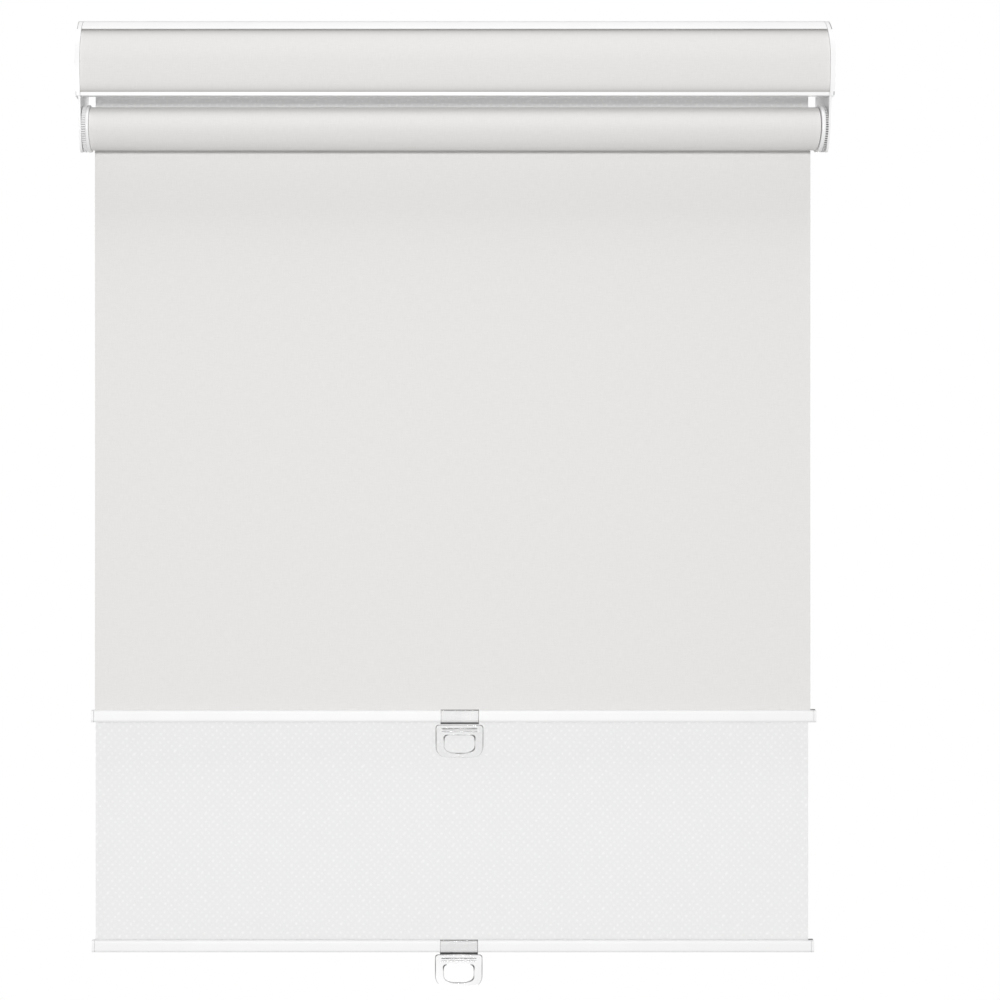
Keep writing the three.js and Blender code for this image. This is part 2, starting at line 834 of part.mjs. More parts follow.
// The handle's plate hangs below the bar: its foot bows down in a shallow arc and its finger hole
// follows the same bow
function handlePlate() {
  const half = plateWidth / 2;
  const top = -barHeight - seatGap - clipWall - plateNeck;
  const foot = top - plateHeight;
  const sideFoot = foot + 2 * plateBow;
  const quarter = Math.PI / 2;
  const shape = new THREE.Shape();
  shape.moveTo(plateCorner - half, top);
  shape.lineTo(half - plateCorner, top);
  shape.absarc(half - plateCorner, top - plateCorner, plateCorner, quarter, 0, true);
  shape.lineTo(half, sideFoot);
  shape.quadraticCurveTo(half - plateBow / 2, foot + plateBow / 2, half / 2, foot + plateBow / 4);
  shape.quadraticCurveTo(0, foot - plateBow / 4, -half / 2, foot + plateBow / 4);
  shape.quadraticCurveTo(plateBow / 2 - half, foot + plateBow / 2, -half, sideFoot);
  shape.lineTo(-half, top - plateCorner);
  shape.absarc(plateCorner - half, top - plateCorner, plateCorner, 2 * quarter, quarter, true);
  const holeHalf = holeWidth / 2;
  const holeTop = top - holeDrop;
  const holeFoot = holeTop - holeHeight;
  const holeShoulder = holeFoot + holeShoulderShare * plateBow;
  const hole = new THREE.Path();
  hole.moveTo(holeCorner - holeHalf, holeTop);
  hole.lineTo(holeHalf - holeCorner, holeTop);
  hole.absarc(holeHalf - holeCorner, holeTop - holeCorner, holeCorner, quarter, 0, true);
  hole.lineTo(holeHalf, holeShoulder);
  hole.quadraticCurveTo(holeHalf, holeFoot + plateBow / 2, holeHalf / 2, holeFoot + plateBow / 4);
  hole.quadraticCurveTo(0, holeFoot - plateBow / 4, -holeHalf / 2, holeFoot + plateBow / 4);
  hole.quadraticCurveTo(-holeHalf, holeFoot + plateBow / 2, -holeHalf, holeShoulder);
  hole.lineTo(-holeHalf, holeTop - holeCorner);
  hole.absarc(holeCorner - holeHalf, holeTop - holeCorner, holeCorner, 2 * quarter, quarter, true);
  shape.holes.push(hole);
  return shape;
}

function makePullHandle() {
  const halfInner = barDepth / 2 + seatGap;
  const half = halfInner + clipWall;
  const low = -barHeight - seatGap;
  const lipTop = seatGap + clipWall / 2;
  const lipInner = half - clipWall - clipLip;
  const clip = new THREE.Shape([
    new THREE.Vector2(-half, lipTop),
    new THREE.Vector2(-half, low - clipWall),
    new THREE.Vector2(half, low - clipWall),
    new THREE.Vector2(half, lipTop),
    new THREE.Vector2(lipInner, lipTop),
    new THREE.Vector2(lipInner, seatGap),
    new THREE.Vector2(halfInner, seatGap),
    new THREE.Vector2(halfInner, low),
    new THREE.Vector2(-halfInner, low),
    new THREE.Vector2(-halfInner, seatGap),
    new THREE.Vector2(-lipInner, seatGap),
    new THREE.Vector2(-lipInner, lipTop),
  ]);
  const plateTop = low - clipWall - plateNeck;
  const halfPlate = plateThickness / 2;
  const halfClip = clipWidth / 2;
  const ribs = ribDrops.map((drop) => box(
    -halfClip, halfClip,
    -halfPlate - ribHeight, -halfPlate + ribHeight,
    plateTop - drop - ribWidth / 2, plateTop - drop + ribWidth / 2,
  ));
  return join(
    alongX(clip, -halfClip, halfClip),
    box(-halfClip, halfClip, -halfPlate, halfPlate, plateTop - seatGap, low - clipWall + seatGap),
    alongY(handlePlate(), -halfPlate, halfPlate, 6),
    ...ribs,
  );
}

// What hangs from one roller. The fabric's group stands on the tangent where it leaves the roll,
// and the hem bar's group on the middle of the bar's top edge.
function makeHanging(blind) {
  const { name, wheelWidth, rollRadius, thickness, axisY, axisDrop, barDrop } = blind;
  const halfWidth = wheelOuterX - wheelWidth - wheelRollGap;
  const fabricY = axisY + rollRadius - thickness / 2;
  const splineTop = splineRadius - splineGrooveDepth;
  const fabricFoot = splineTop + seatGap;
  const fabric = box(
    -halfWidth, halfWidth,
    fabricY - thickness / 2, fabricY + thickness / 2,
    fabricFoot - barDrop, -axisDrop - seatGap,
  );
  const halfBar = halfWidth + barOverhang - hemCapThickness - seatGap;
  const bar = new THREE.Group();
  bar.position.set(barShift, fabricY, -barDrop);
  const cap = makeHemCap(halfBar);
  const handle = piece(`${name}_pull_handle`, 'clearPlastic', makePullHandle());
  handle.position.x = handleShift - barShift;
  bar.add(
    piece(`${name}_hem_bar`, 'whiteMetal', makeHemBar(halfBar)),
    piece(
      `${name}_hem_spline`, 'nylon',
      rod(splineRadius, -halfBar, halfBar, 12).translate(0, 0, -splineGrooveDepth),
    ),
    piece(`${name}_hem_cap_right`, 'whitePlastic', cap),
    piece(`${name}_hem_cap_left`, 'whitePlastic', mirrored(cap)),
    handle,
  );
  const hanging = new THREE.Group();
  hanging.add(piece(`${name}_fabric_panel`, `${name}Fabric`, fabric), bar);
  return hanging;
}

const blinds = [
  {
    name: 'front',
    axisY: frontAxisY,
    axisDrop: frontAxisDrop,
    rollRadius: frontRollRadius,
    thickness: frontFabricThickness,
    wheelWidth: frontWheelWidth,
    barDrop: frontBarDrop,
  },
  {
    name: 'rear',
    axisY: rearAxisY,
    axisDrop: rearAxisDrop,
    rollRadius: rearRollRadius,
    thickness: rearFabricThickness,
    wheelWidth: rearWheelWidth,
    barDrop: rearBarDrop,
  },
];

const springTurns = springPath(0);
console.log(`spring: ${springCurls} curls over ${springLength.toFixed(1)} mm`);
console.log(`least gap of the spring to itself: ${leastSpringGap(springTurns).toFixed(2)} mm`);

const bracket = makeBracket();
const endCap = makeEndCap();
const rollerBlind = new THREE.Group();
rollerBlind.add(
  piece('right_bracket', 'bracketMetal', bracket),
  piece('left_bracket', 'bracketMetal', mirrored(bracket)),
  piece('right_end_cap', 'whitePlastic', endCap),
  piece('left_end_cap', 'whitePlastic', mirrored(endCap)),
  piece('fascia', 'whiteMetal', makeFascia()),
  piece('fascia_insert', 'insertFabric', makeFasciaInsert()),
);
blinds.forEach((blind) => {
  rollerBlind.add(makeRoller(blind), makeHanging(blind));
});

export default rollerBlind;
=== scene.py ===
import math

import bmesh
import bpy
import numpy as np
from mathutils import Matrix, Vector


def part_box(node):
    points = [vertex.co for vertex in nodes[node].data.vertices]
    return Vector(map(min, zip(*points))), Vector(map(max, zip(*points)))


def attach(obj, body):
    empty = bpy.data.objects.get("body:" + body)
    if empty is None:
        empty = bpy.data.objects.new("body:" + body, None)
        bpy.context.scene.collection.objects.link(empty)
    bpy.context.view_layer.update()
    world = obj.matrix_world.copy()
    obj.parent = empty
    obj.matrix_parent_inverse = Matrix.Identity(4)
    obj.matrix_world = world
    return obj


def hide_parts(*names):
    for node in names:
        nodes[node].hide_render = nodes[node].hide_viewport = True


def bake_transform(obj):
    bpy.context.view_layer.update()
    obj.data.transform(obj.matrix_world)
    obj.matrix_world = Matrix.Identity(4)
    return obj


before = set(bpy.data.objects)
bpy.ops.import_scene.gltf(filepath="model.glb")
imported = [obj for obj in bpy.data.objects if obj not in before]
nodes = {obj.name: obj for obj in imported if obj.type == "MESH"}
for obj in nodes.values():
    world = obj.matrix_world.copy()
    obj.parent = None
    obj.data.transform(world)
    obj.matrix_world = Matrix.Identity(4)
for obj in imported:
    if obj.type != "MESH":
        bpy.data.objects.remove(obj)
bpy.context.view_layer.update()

# A double roller blind. Metres; +X is right, +Y is towards the wall and +Z is up.

MM = 0.001

# Sizes that the cloth and the new pieces share with the solids they stand for
rear_axis = Vector((0, -36.2, -50)) * MM
front_axis = Vector((0, -55, -123.6)) * MM
tube_radius = 19 * MM
front_roll_radius = 24.7 * MM
rear_roll_radius = 22.2 * MM
front_cloth_thickness = 0.56 * MM
rear_cloth_thickness = 0.4 * MM
layer_gap = 0.04 * MM
cloth_ripple = 0.12 * MM
cloth_ripple_pitch = 230 * MM
bar_width = 10 * MM
bar_height = 14.1 * MM

# Valance outline
nose_y = -86 * MM
nose_drop = 50 * MM
upper_setback = 28.6 * MM
lower_reach = 41 * MM
lower_setback = 4.2 * MM
upper_lip = 12.5 * MM
lower_lip = 4 * MM
cloth_recess = 2.4 * MM
valance_cloth_thickness = 0.5 * MM
tuck = 0.25 * MM
cloth_end_reach = 0.4 * MM
# Painted shade on the valance cloth under its lips: how far it reaches, and how slowly it starts under
# the upper lip
upper_shade_reach = 6.3 * MM
upper_shade_falloff = 1.6
lower_shade_reach = 3.2 * MM

# Dark strips painted as the shadow in the seams of the end caps' fronts, and low dark blocks painted as
# the shadow at the open right ends of the hem bars' slots
seam_x = 431 * MM
seam_widths = {"left": 0.45 * MM, "right": 0.8 * MM}
seam_proud = 0.03 * MM
seam_depth = 0.5 * MM
upper_seam = (-13 * MM, -1.5 * MM)
lower_seam = (-90.5 * MM, -86.5 * MM)
slot_shadow_reach = 5.2 * MM
slot_shadow_depth = 3.4 * MM
slot_shadow_height = 1 * MM

# Serrated wheels
wheel_radius = 27 * MM
wheel_bulge = 0.9 * MM
wheel_web = 1.7 * MM
wheel_cup = 19 * MM
serration_widths = {"tension": 3.1 * MM, "idle": 4.6 * MM}
serration_inset = 0.4 * MM
serration_depth = 1.7 * MM
serrations = 60
serration_steps = 12
notch_power = 6
# Painted shade in the notches between the serrations: how fast it fades, and how dark it is on each wheel
painted_groove_shade_falloff = 0.3
painted_groove_shades = {"tension": 1.0, "idle": 0.3}
mandrel_bore = 5.4 * MM
pin_bore = 4.4 * MM
moulded_edge = 0.35 * MM
idle_flange_reach = 0.7 * MM

# Torsion spring
spring_radius = 9.2 * MM
spring_wire = 2.2 * MM
spring_pitch = 4.4 * MM
spring_curls = 16

# Pull handles
clip_width = 44.3 * MM
clip_wall = 1.3 * MM
clip_lip = 2.6 * MM
clip_gap = 0.3 * MM
plate_width = 55.7 * MM
plate_height = 38.2 * MM
plate_thickness = 2.6 * MM
plate_neck = 1.6 * MM
plate_corner = 4 * MM
plate_bow = 4.5 * MM
plate_round = 1.2 * MM
hole_width = 34.8 * MM
hole_height = 20.4 * MM
hole_drop = 12.3 * MM
hole_corner = 5 * MM
hole_bow = 3.8 * MM
rib_drops = (4.4 * MM, 7.6 * MM)
rib_radius = 0.75 * MM
hole_rim_least = 0.75
clip_rim = 1 * MM
clip_corner = 0.6 * MM

# Painted shade on the clear handles' rims, ribs and clip, in place of the dark edges that clear plastic
# shows: how dark, from 0 to 1, and how far a darker stretch of rim reaches
plate_rim_shade = 0.1
hole_rim_shade = 0.3
plate_corner_fade = 5 * MM
plate_side_fade = 18 * MM
plate_side_shades = {"left": 0.95, "right": 0.8}
hole_corner_fade = 7 * MM
hole_foot_fade = 16 * MM
hole_foot_shade = 0.55
hole_foot_corner_fade = 8 * MM
rim_falloff = 0.25
rib_shades = (0.45, 0.25)
clip_shade = 0.075
clip_lip_shade = 0.4
clip_end_shades = {"left": 0.35, "right": 0.7}

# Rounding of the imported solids' edges
fascia_edge = 0.35 * MM
bracket_edge = 0.3 * MM
cap_edge = 0.4 * MM
bar_edge = 0.25 * MM
spline_edge = 0.2 * MM
tube_edge = 0.15 * MM
inner_edge = 0.3 * MM
weld_reach = 0.005 * MM

# Height of each finish's relief
linen_relief = 0.05 * MM
dot_relief = 0.06 * MM
flow_relief = 0.02 * MM
skin_relief = 0.01 * MM
metal_relief = 0.004 * MM

# Room and camera. The camera's sensor and lens are in millimetres
floor_level = -1.96
floor_radius = 1.5
ambient_light = 0.34
lamp_aim = (0, 0, -0.5)
camera_place = (-0.108, -2.129, -0.551)
camera_sensor = 36
camera_lens = 64.8
camera_shift = 0.14


# Meshes

def grid_quads(rows, columns, wrap_rows=False, wrap_columns=False):
    """Quads between neighbouring points of a grid. A wrapped direction closes on itself."""
    across, along = np.meshgrid(
        np.arange(rows if wrap_rows else rows - 1),
        np.arange(columns if wrap_columns else columns - 1),
        indexing="ij",
    )
    next_row = (across + 1) % rows
    next_column = (along + 1) % columns
    corners = [
        across * columns + along,
        across * columns + next_column,
        next_row * columns + next_column,
        next_row * columns + along,
    ]
    return np.stack(corners, axis=-1).reshape(-1, 4)


def strip_quads(first, second):
    """Quads between two rows of point numbers of one length."""
    corners = [first[:-1], first[1:], second[1:], second[:-1]]
    return np.stack(corners, axis=-1)


def end_faces(rows, columns):
    """The faces that close the first and last row of a grid whose columns wrap."""
    start = (rows - 1) * columns
    return [list(range(columns)), list(range(start, start + columns))]


def make_piece(name, points, faces, flat=None, sharp_angle=40):
    """A mesh object from points and faces, with its faces turned outwards, smooth shading between
    faces that meet at less than the sharp angle, and flat as its map in metres."""
    mesh = bpy.data.meshes.new(name)
    mesh.from_pydata(np.asarray(points).reshape(-1, 3).tolist(), [], faces)
    if flat is not None:
        corner_points = np.zeros(len(mesh.loops), np.int32)
        mesh.loops.foreach_get("vertex_index", corner_points)
        layer = mesh.uv_layers.new(name="flat")
        layer.data.foreach_set("uv", flat.reshape(-1, 2)[corner_points].astype(np.float32).ravel())
    piece = bpy.data.objects.new(name, mesh)
    bpy.context.scene.collection.objects.link(piece)
    face_outwards(mesh)
    mesh.shade_smooth()
    mesh.set_sharp_from_angle(angle=math.radians(sharp_angle))
    return piece


def mark_points(piece, name, values):
    """Keeps a number from 0 to 1 at each point of a piece, for its material to read."""
    layer = piece.data.attributes.new(name, "FLOAT", "POINT")
    layer.data.foreach_set("value", np.asarray(values, np.float32).ravel())


def face_outwards(mesh):
    work = bmesh.new()
    work.from_mesh(mesh)
    bmesh.ops.recalc_face_normals(work, faces=work.faces)
    work.to_mesh(mesh)
    work.free()


def make_shell(name, upper, lower, flat):
    """A closed sheet between two grids of points of one shape: both faces, and a strip along each of
    the four edges."""
    rows, columns = upper.shape[:2]
    count = rows * columns
    number = np.arange(count).reshape(rows, columns)
    quads = grid_quads(rows, columns)
    edges = [number[0], number[-1], number[:, 0], number[:, -1]]
    faces = [quads, count + quads[:, ::-1]]
    faces += [strip_quads(edge, count + edge) for edge in edges]
    points = np.concatenate([upper.reshape(-1, 3), lower.reshape(-1, 3)])
    flats = np.concatenate([flat.reshape(-1, 2), flat.reshape(-1, 2)])
    return make_piece(name, points, np.concatenate(faces).tolist(), flats)


def carry_along_x(outline, stations):
    """A closed outline of (y, z) points carried through the x stations, with both ends closed."""
    count = len(outline)
    xs = np.asarray(stations)
    points = np.zeros((len(xs), count, 3))
    points[:, :, 0] = xs[:, None]
    points[:, :, 1:] = outline[None]
    faces = grid_quads(len(xs), count, wrap_columns=True).tolist()
    return points.reshape(-1, 3), faces + end_faces(len(xs), count)


def joined(*parts):
    """Several (points, faces, marks) parts as one."""
    points, faces, marks, start = [], [], [], 0
    for part_points, part_faces, part_marks in parts:
        points.append(part_points)
        marks.append(np.ravel(part_marks))
        faces += [[start + corner for corner in face] for face in part_faces]
        start += len(part_points)
    return np.concatenate(points), faces, np.concatenate(marks)


def rounded_outline(corners, radius, steps=5):
    """A polygon with each corner replaced by a curve. The curve starts and ends at the radius from
    the corner, or at just under half the shorter side, and is the quadratic along both sides."""
    corners = np.asarray(corners, float)
    before = np.roll(corners, 1, axis=0) - corners
    after = np.roll(corners, -1, axis=0) - corners
    reach = np.linalg.norm(before, axis=1)
    onward = np.linalg.norm(after, axis=1)
    cut = np.minimum(radius, np.minimum(reach, onward) * 0.49)[:, None]
    start = corners + before / reach[:, None] * cut
    end = corners + after / onward[:, None] * cut
    t = np.linspace(0, 1, steps)[None, :, None]
    curve = (1 - t) ** 2 * start[:, None] + 2 * t * (1 - t) * corners[:, None] + t ** 2 * end[:, None]
    return curve.reshape(-1, 2)


def flatten_normals(piece):
    """Shades large flat faces as flat, whatever small faces round their edges."""
    normals = piece.modifiers.new("normals", "WEIGHTED_NORMAL")
    normals.keep_sharp = True


def finish_edges(name, width, segments=2):
    """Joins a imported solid's loose triangles, merges its flat faces and rounds its sharp edges,
    all as modifiers, so that the solid's own mesh stays as it is."""
    solid = nodes[name]
    solid.data.shade_smooth()
    weld = solid.modifiers.new("weld", "WELD")
    weld.merge_threshold = weld_reach
    flats = solid.modifiers.new("flats", "DECIMATE")
    flats.decimate_type = "DISSOLVE"
    flats.angle_limit = math.radians(1)
    edges = solid.modifiers.new("edges", "BEVEL")
    edges.width = width
    edges.segments = segments
    edges.limit_method = "ANGLE"
    edges.angle_limit = math.radians(35)
    edges.use_clamp_overlap = True
    edges.harden_normals = False
    normals = solid.modifiers.new("normals", "WEIGHTED_NORMAL")
    normals.keep_sharp = False


# Cloth

def ripple(x, z, phase):
    """Hanging cloth isn't quite flat: the sum of two slow sines across it, one of them aslant."""
    turn = 2 * math.pi / cloth_ripple_pitch
    straight = np.sin(turn * x + phase)
    aslant = np.sin(0.6 * turn * x + 0.35 * turn * z + 2.1 * phase)
    return cloth_ripple * (straight + aslant) / 2


def make_hanging_cloth(name, node, axis, roll_radius, thickness, phase):
    """A cloth hanging from the back of its roll down into the bar's slot. Point (s, x) lies at the
    roll's tangent, and further back by the squared sine of half a turn over the drop s, times the
    sum of a thickness, a ripple's height and the ripple there. It is held at both ends."""
    low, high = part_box(node)
    top = axis.z
    drop = np.linspace(0, 1, 181)[:, None]
    x = np.linspace(low.x, high.x, 73)[None, :]
    z = top + (low.z - top) * drop + 0 * x
    free = np.sin(math.pi * drop) ** 2
    back = axis.y + roll_radius + free * (thickness + cloth_ripple + ripple(x, z, phase))
    x = x + 0 * z
    behind = np.stack([x, back + 0 * z, z], axis=-1)
    ahead = behind - np.array([0, thickness, 0])
    cloth = make_shell(name, ahead, behind, np.stack([x, z], axis=-1))
    return cloth, (high.x - low.x, top - low.z)


def make_wound_cloth(name, node, axis, roll_radius, thickness):
    """Cloth wound on its tube. The spiral's radius falls by one thickness and a small gap for each
    turn, from the free end at the back up over the top, down to the tube."""
    low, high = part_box(node)
    pitch = thickness + layer_gap
    turns = math.floor((roll_radius - thickness - tube_radius - layer_gap) / pitch)
    steps = 96
    angle = np.linspace(0, 2 * math.pi * turns, steps * turns + 1)[:, None]
    radius = roll_radius - pitch * angle / (2 * math.pi)
    x = np.linspace(low.x, high.x, 5)[None, :]

    def place(radius):
        y = axis.y + radius * np.cos(angle) + 0 * x
        z = axis.z + radius * np.sin(angle) + 0 * x
        return np.stack([x + 0 * y, y, z], axis=-1)

    length = np.cumsum(np.concatenate([[0], np.diff(angle[:, 0]) * radius[1:, 0]]))[:, None]
    flat = np.stack([x + 0 * length, length + 0 * x], axis=-1)
    return make_shell(name, place(radius), place(radius - thickness), flat)


def valance_front(rise, inset):
    """Points (y, z) of the valance's front at heights above its nose: one arc above the nose and
    one below it, each with the radius that its reach and setback give."""
    above = rise > 0
    reach = np.where(above, nose_drop, lower_reach)
    setback = np.where(above, upper_setback, lower_setback)
    radius = (reach ** 2 + setback ** 2) / (2 * setback)
    y = nose_y + radius - np.sqrt((radius - inset) ** 2 - rise ** 2)
    return np.stack([y, rise - nose_drop], axis=-1)


def make_valance_cloth(name):
    """The cloth strip in the valance, on the arcs of its front, between the two lips. Its mark is painted
    shade under the lips: it fades with the distance from each lip, in the lip's own reach, and slowly at
    first under the upper lip."""
    low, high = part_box("fascia_insert")
    end_rise = nose_drop - upper_lip - tuck
    start_rise = lower_lip + tuck - lower_reach
    rise = np.linspace(start_rise, end_rise, 97)
    x = np.linspace(low.x - cloth_end_reach, high.x + cloth_end_reach, 49)

    def place(inset):
        line = valance_front(rise, inset)
        y = line[:, :1] + 0 * x
        z = line[:, 1:] + 0 * x
        return np.stack([x + 0 * y, y, z], axis=-1)

    front = place(cloth_recess - tuck / 2 - valance_cloth_thickness)
    steps = np.linalg.norm(np.diff(front[:, 0], axis=0), axis=1)
    length = np.concatenate([[0], np.cumsum(steps)])[:, None]
    flat = np.stack([x + 0 * length, length + 0 * x], axis=-1)
    cloth = make_shell(name, front, place(cloth_recess - tuck / 2), flat)
    shade = np.exp(-((length[-1] - length) / upper_shade_reach) ** upper_shade_falloff)
    shade += np.exp(-length / lower_shade_reach)
    mark_points(cloth, "painted_shade_under_lip", np.tile((shade + 0 * x).ravel(), 2))
    return cloth, (x[-1] - x[0], length[-1, 0])


# Moulded and wound pieces

def make_seam_shadow(name, side, width, heights):
    """A thin dark strip in an end cap's front, painted shadow in the seam: the front line between two
    heights, as wide as the seam, from a little proud of the cap to the seam's depth in it."""
    rise = np.linspace(heights[0], heights[1], 13) + nose_drop
    x = side * seam_x + width * np.linspace(-0.5, 0.5, 3)

    def place(inset):
        line = valance_front(rise, inset)
        return np.stack([x + 0 * line[:, :1], line[:, :1] + 0 * x, line[:, 1:] + 0 * x], axis=-1)

    front = place(-seam_proud)
    return make_shell(name, front, place(seam_depth), front[..., [0, 2]])


def make_slot_shadow(name, panel, bar):
    """A low block over the bar's slot, which stands as painted shadow at the slot's open end, from the
    cloth's right edge towards the bar's end, with the outline of its section rounded."""
    cloth_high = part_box(panel)[1]
    bar_low, bar_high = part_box(bar)
    middle = (bar_low.y + bar_high.y) / 2
    half = slot_shadow_depth / 2
    outline = rounded_outline([
        (middle - half, bar_high.z), (middle + half, bar_high.z),
        (middle + half, bar_high.z + slot_shadow_height), (middle - half, bar_high.z + slot_shadow_height),
    ], slot_shadow_height / 2, 4)
    start = cloth_high.x + cloth_ripple
    points, faces = carry_along_x(outline, [start, start + slot_shadow_reach])
    return make_piece(name, points, faces)


def wheel_profile(width, bore, serration_width):
    """The wheel's section as (distance from its inner face, radius, share of the serration) rows:
    a bulged flange, a step down to the serrated ring and a cup round the socket."""
    smooth = width - serration_width
    bulge = np.linspace(0, math.pi, 13)
    flange_x = smooth * (1 - np.cos(bulge)) / 2
    flange_r = wheel_radius - wheel_bulge + wheel_bulge * np.sin(bulge)
    ring = wheel_radius - wheel_bulge - serration_inset
    edge = moulded_edge
    rows = [(0, bore, 0), (0, bore + edge, 0), (0, wheel_radius - 4 * wheel_bulge, 0)]
    rows += [(x, r, 0) for x, r in zip(flange_x, flange_r)]
    rows += [
        (smooth, ring + edge / 2, 0),
        (smooth + edge / 2, ring, 0.6),
        (smooth + edge, ring, 1),
        (width - edge, ring, 1),
        (width - edge / 4, ring - edge / 3, 1),
        (width, ring - edge, 0.6),
        (width, ring - serration_depth - edge, 0),
        (width, wheel_cup + edge, 0),
        (width - edge, wheel_cup, 0),
        (wheel_web + edge, wheel_cup, 0),
        (wheel_web, wheel_cup - edge, 0),
        (wheel_web, bore + edge, 0),
        (wheel_web, bore, 0),
    ]
    return np.array(rows)


def make_wheel(name, node, axis, end, bore):
    """The section turned about the roller's axis. On the ring the radius falls by the serration's
    depth in a smooth notch between teeth, the sixth power of a cosine, and its mark, painted shade
    in the notch, follows it."""
    low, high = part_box(node)
    side = 1 if end == "tension" else -1
    reach = 0 if end == "tension" else idle_flange_reach
    profile = wheel_profile(high.x - low.x + reach, bore, serration_widths[end])
    count = serrations * serration_steps
    turn = 2 * math.pi * np.arange(count) / count
    notch = profile[:, 2:3] * np.cos(serrations * turn / 2)[None] ** notch_power
    radius = profile[:, 1:2] - serration_depth * notch
    inner = (low.x if side > 0 else high.x) - side * reach
    x = inner + side * profile[:, :1] + 0 * radius
    y = axis.y + radius * np.cos(turn)
    z = axis.z + radius * np.sin(turn)
    points = np.stack([x, y, z], axis=-1)
    faces = grid_quads(len(profile), count, wrap_rows=True, wrap_columns=True)
    wheel = make_piece(name, points, faces.tolist(), sharp_angle=50)
    # The notches get painted shade from this mark
    mark_points(wheel, "painted_groove_shade", painted_groove_shades[end] * notch ** painted_groove_shade_falloff)
    flatten_normals(wheel)
    return wheel


def make_spring(name, node, axis):
    """A wire carried along a helix about the mandrel, with a short straight run at each end. The
    section's frame is the outward direction and the direction square to it and the path."""
    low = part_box(node)[0]
    steps = 40
    turn = np.linspace(0, 2 * math.pi * spring_curls, spring_curls * steps + 1)
    start = low.x + spring_wire
    helix_x = start + spring_pitch * turn / (2 * math.pi)
    lead = np.linspace(0, 1, 6)[:-1]
    tail_x = helix_x[-1] + spring_wire * (lead + lead[1])
    x = np.concatenate([low.x + spring_wire * lead, helix_x, tail_x])
    angle = np.concatenate([0 * lead, turn, 0 * lead + turn[-1]])
    outward = np.stack([0 * angle, np.cos(angle), np.sin(angle)], axis=-1)
    centre = np.array(axis) + spring_radius * outward
    centre[:, 0] = x
    ahead = np.gradient(centre, axis=0)
    across = np.cross(ahead, outward)
    across /= np.linalg.norm(across, axis=1)[:, None]
    sides = 12
    ring = (2 * math.pi * np.arange(sides) / sides)[None, :, None]
    section = np.cos(ring) * outward[:, None] + np.sin(ring) * across[:, None]
    points = centre[:, None] + spring_wire / 2 * section
    faces = grid_quads(len(centre), sides, wrap_columns=True).tolist()
    return make_piece(name, points, faces + end_faces(len(centre), sides))


def plate_outlines(top, middle):
    """The plate's outline and its finger hole, each as points at the same turns round the hole's
    middle. Straight sides with round corners above, and a foot that bows down."""
    half = plate_width / 2
    foot = top - plate_height
    outer = [
        (-half, top), (half, top), (half, foot + 2 * plate_bow), (half - plate_bow, foot + plate_bow / 3),
        (half / 2, foot), (-half / 2, foot), (plate_bow - half, foot + plate_bow / 3),
        (-half, foot + 2 * plate_bow),
    ]
    hole_half = hole_width / 2
    hole_top = top - hole_drop
    hole_foot = hole_top - hole_height
    hole = [
        (-hole_half, hole_top), (hole_half, hole_top), (hole_half, hole_foot + hole_bow),
        (hole_half / 2, hole_foot), (-hole_half / 2, hole_foot), (-hole_half, hole_foot + hole_bow),
    ]
    middle_z = hole_top - hole_height / 2
    shapes = []
    for corners, radius in ((outer, plate_corner), (hole, hole_corner)):
        line = rounded_outline(corners, radius, 12) - np.array([0, middle_z])
        shapes.append(resampled(line) + np.array([middle, middle_z]))
    return shapes


def resampled(line, fine=1200, count=240):
    """The crossings of a closed line round the origin with evenly turned rays from it. The line is
    first cut into short even lengths, so that its straight sides stay straight."""
    closed = np.concatenate([line, line[:1]])
    length = np.concatenate([[0], np.cumsum(np.linalg.norm(np.diff(closed, axis=0), axis=1))])
    even = np.linspace(0, length[-1], fine, endpoint=False)
    y = np.interp(even, length, closed[:, 0])
    z = np.interp(even, length, closed[:, 1])
    angle = np.arctan2(z, y) % (2 * math.pi)
    order = np.argsort(angle)
    turn = 2 * math.pi * np.arange(count) / count
    distance = np.interp(turn, angle[order], np.hypot(y, z)[order], period=2 * math.pi)
    return np.stack([np.cos(turn), np.sin(turn)], axis=-1) * distance[:, None]


def rim_strength(line, base, spots):
    """How dark a rim's painted shade is along an outline: the base, or more near a spot, where it fades
    with the square of the distance over the spot's reach. A spot is (x, z, reach, strength)."""
    strength = np.full(len(line), base)
    for x, z, reach, peak in spots:
        distance = np.hypot(line[:, 0] - x, line[:, 1] - z) / reach
        strength = np.maximum(strength, peak * np.exp(-distance ** 2))
    return strength


def make_plate(outer, hole, y, outer_strength, hole_strength):
    """A flat ring between two outlines. The rim at each is half an ellipse, as wide as the plate's
    rounding, or wider where the hole's rim is stronger, and as tall as the plate's thickness. Its
    mark, painted shade on the rim, fades towards the flat faces."""
    half = plate_thickness / 2
    width = np.linalg.norm(hole - outer, axis=1)
    steps = 11
    turn = np.linspace(math.pi / 2, -math.pi / 2, steps)
    turns = np.concatenate([turn, turn[::-1]])
    at_hole = np.repeat([0.0, 1.0], steps)[:, None]
    spread = np.where(at_hole > 0, plate_round * (hole_rim_least + hole_strength[None]), plate_round)
    inset = spread * (1 - np.cos(turns))[:, None] / width[None]
    share = np.where(at_hole > 0, 1 - inset, inset)
    place = outer[None] + share[..., None] * (hole - outer)[None]
    across = y + half * np.sin(turns)[:, None] + 0 * share
    points = np.stack([place[..., 0], across, place[..., 1]], axis=-1)
    strength = np.where(at_hole > 0, hole_strength[None], outer_strength[None])
    marks = strength * np.clip(np.cos(turns), 0, 1)[:, None] ** rim_falloff
    faces = grid_quads(len(turns), len(outer), wrap_rows=True, wrap_columns=True)
    return points.reshape(-1, 3), faces.tolist(), marks


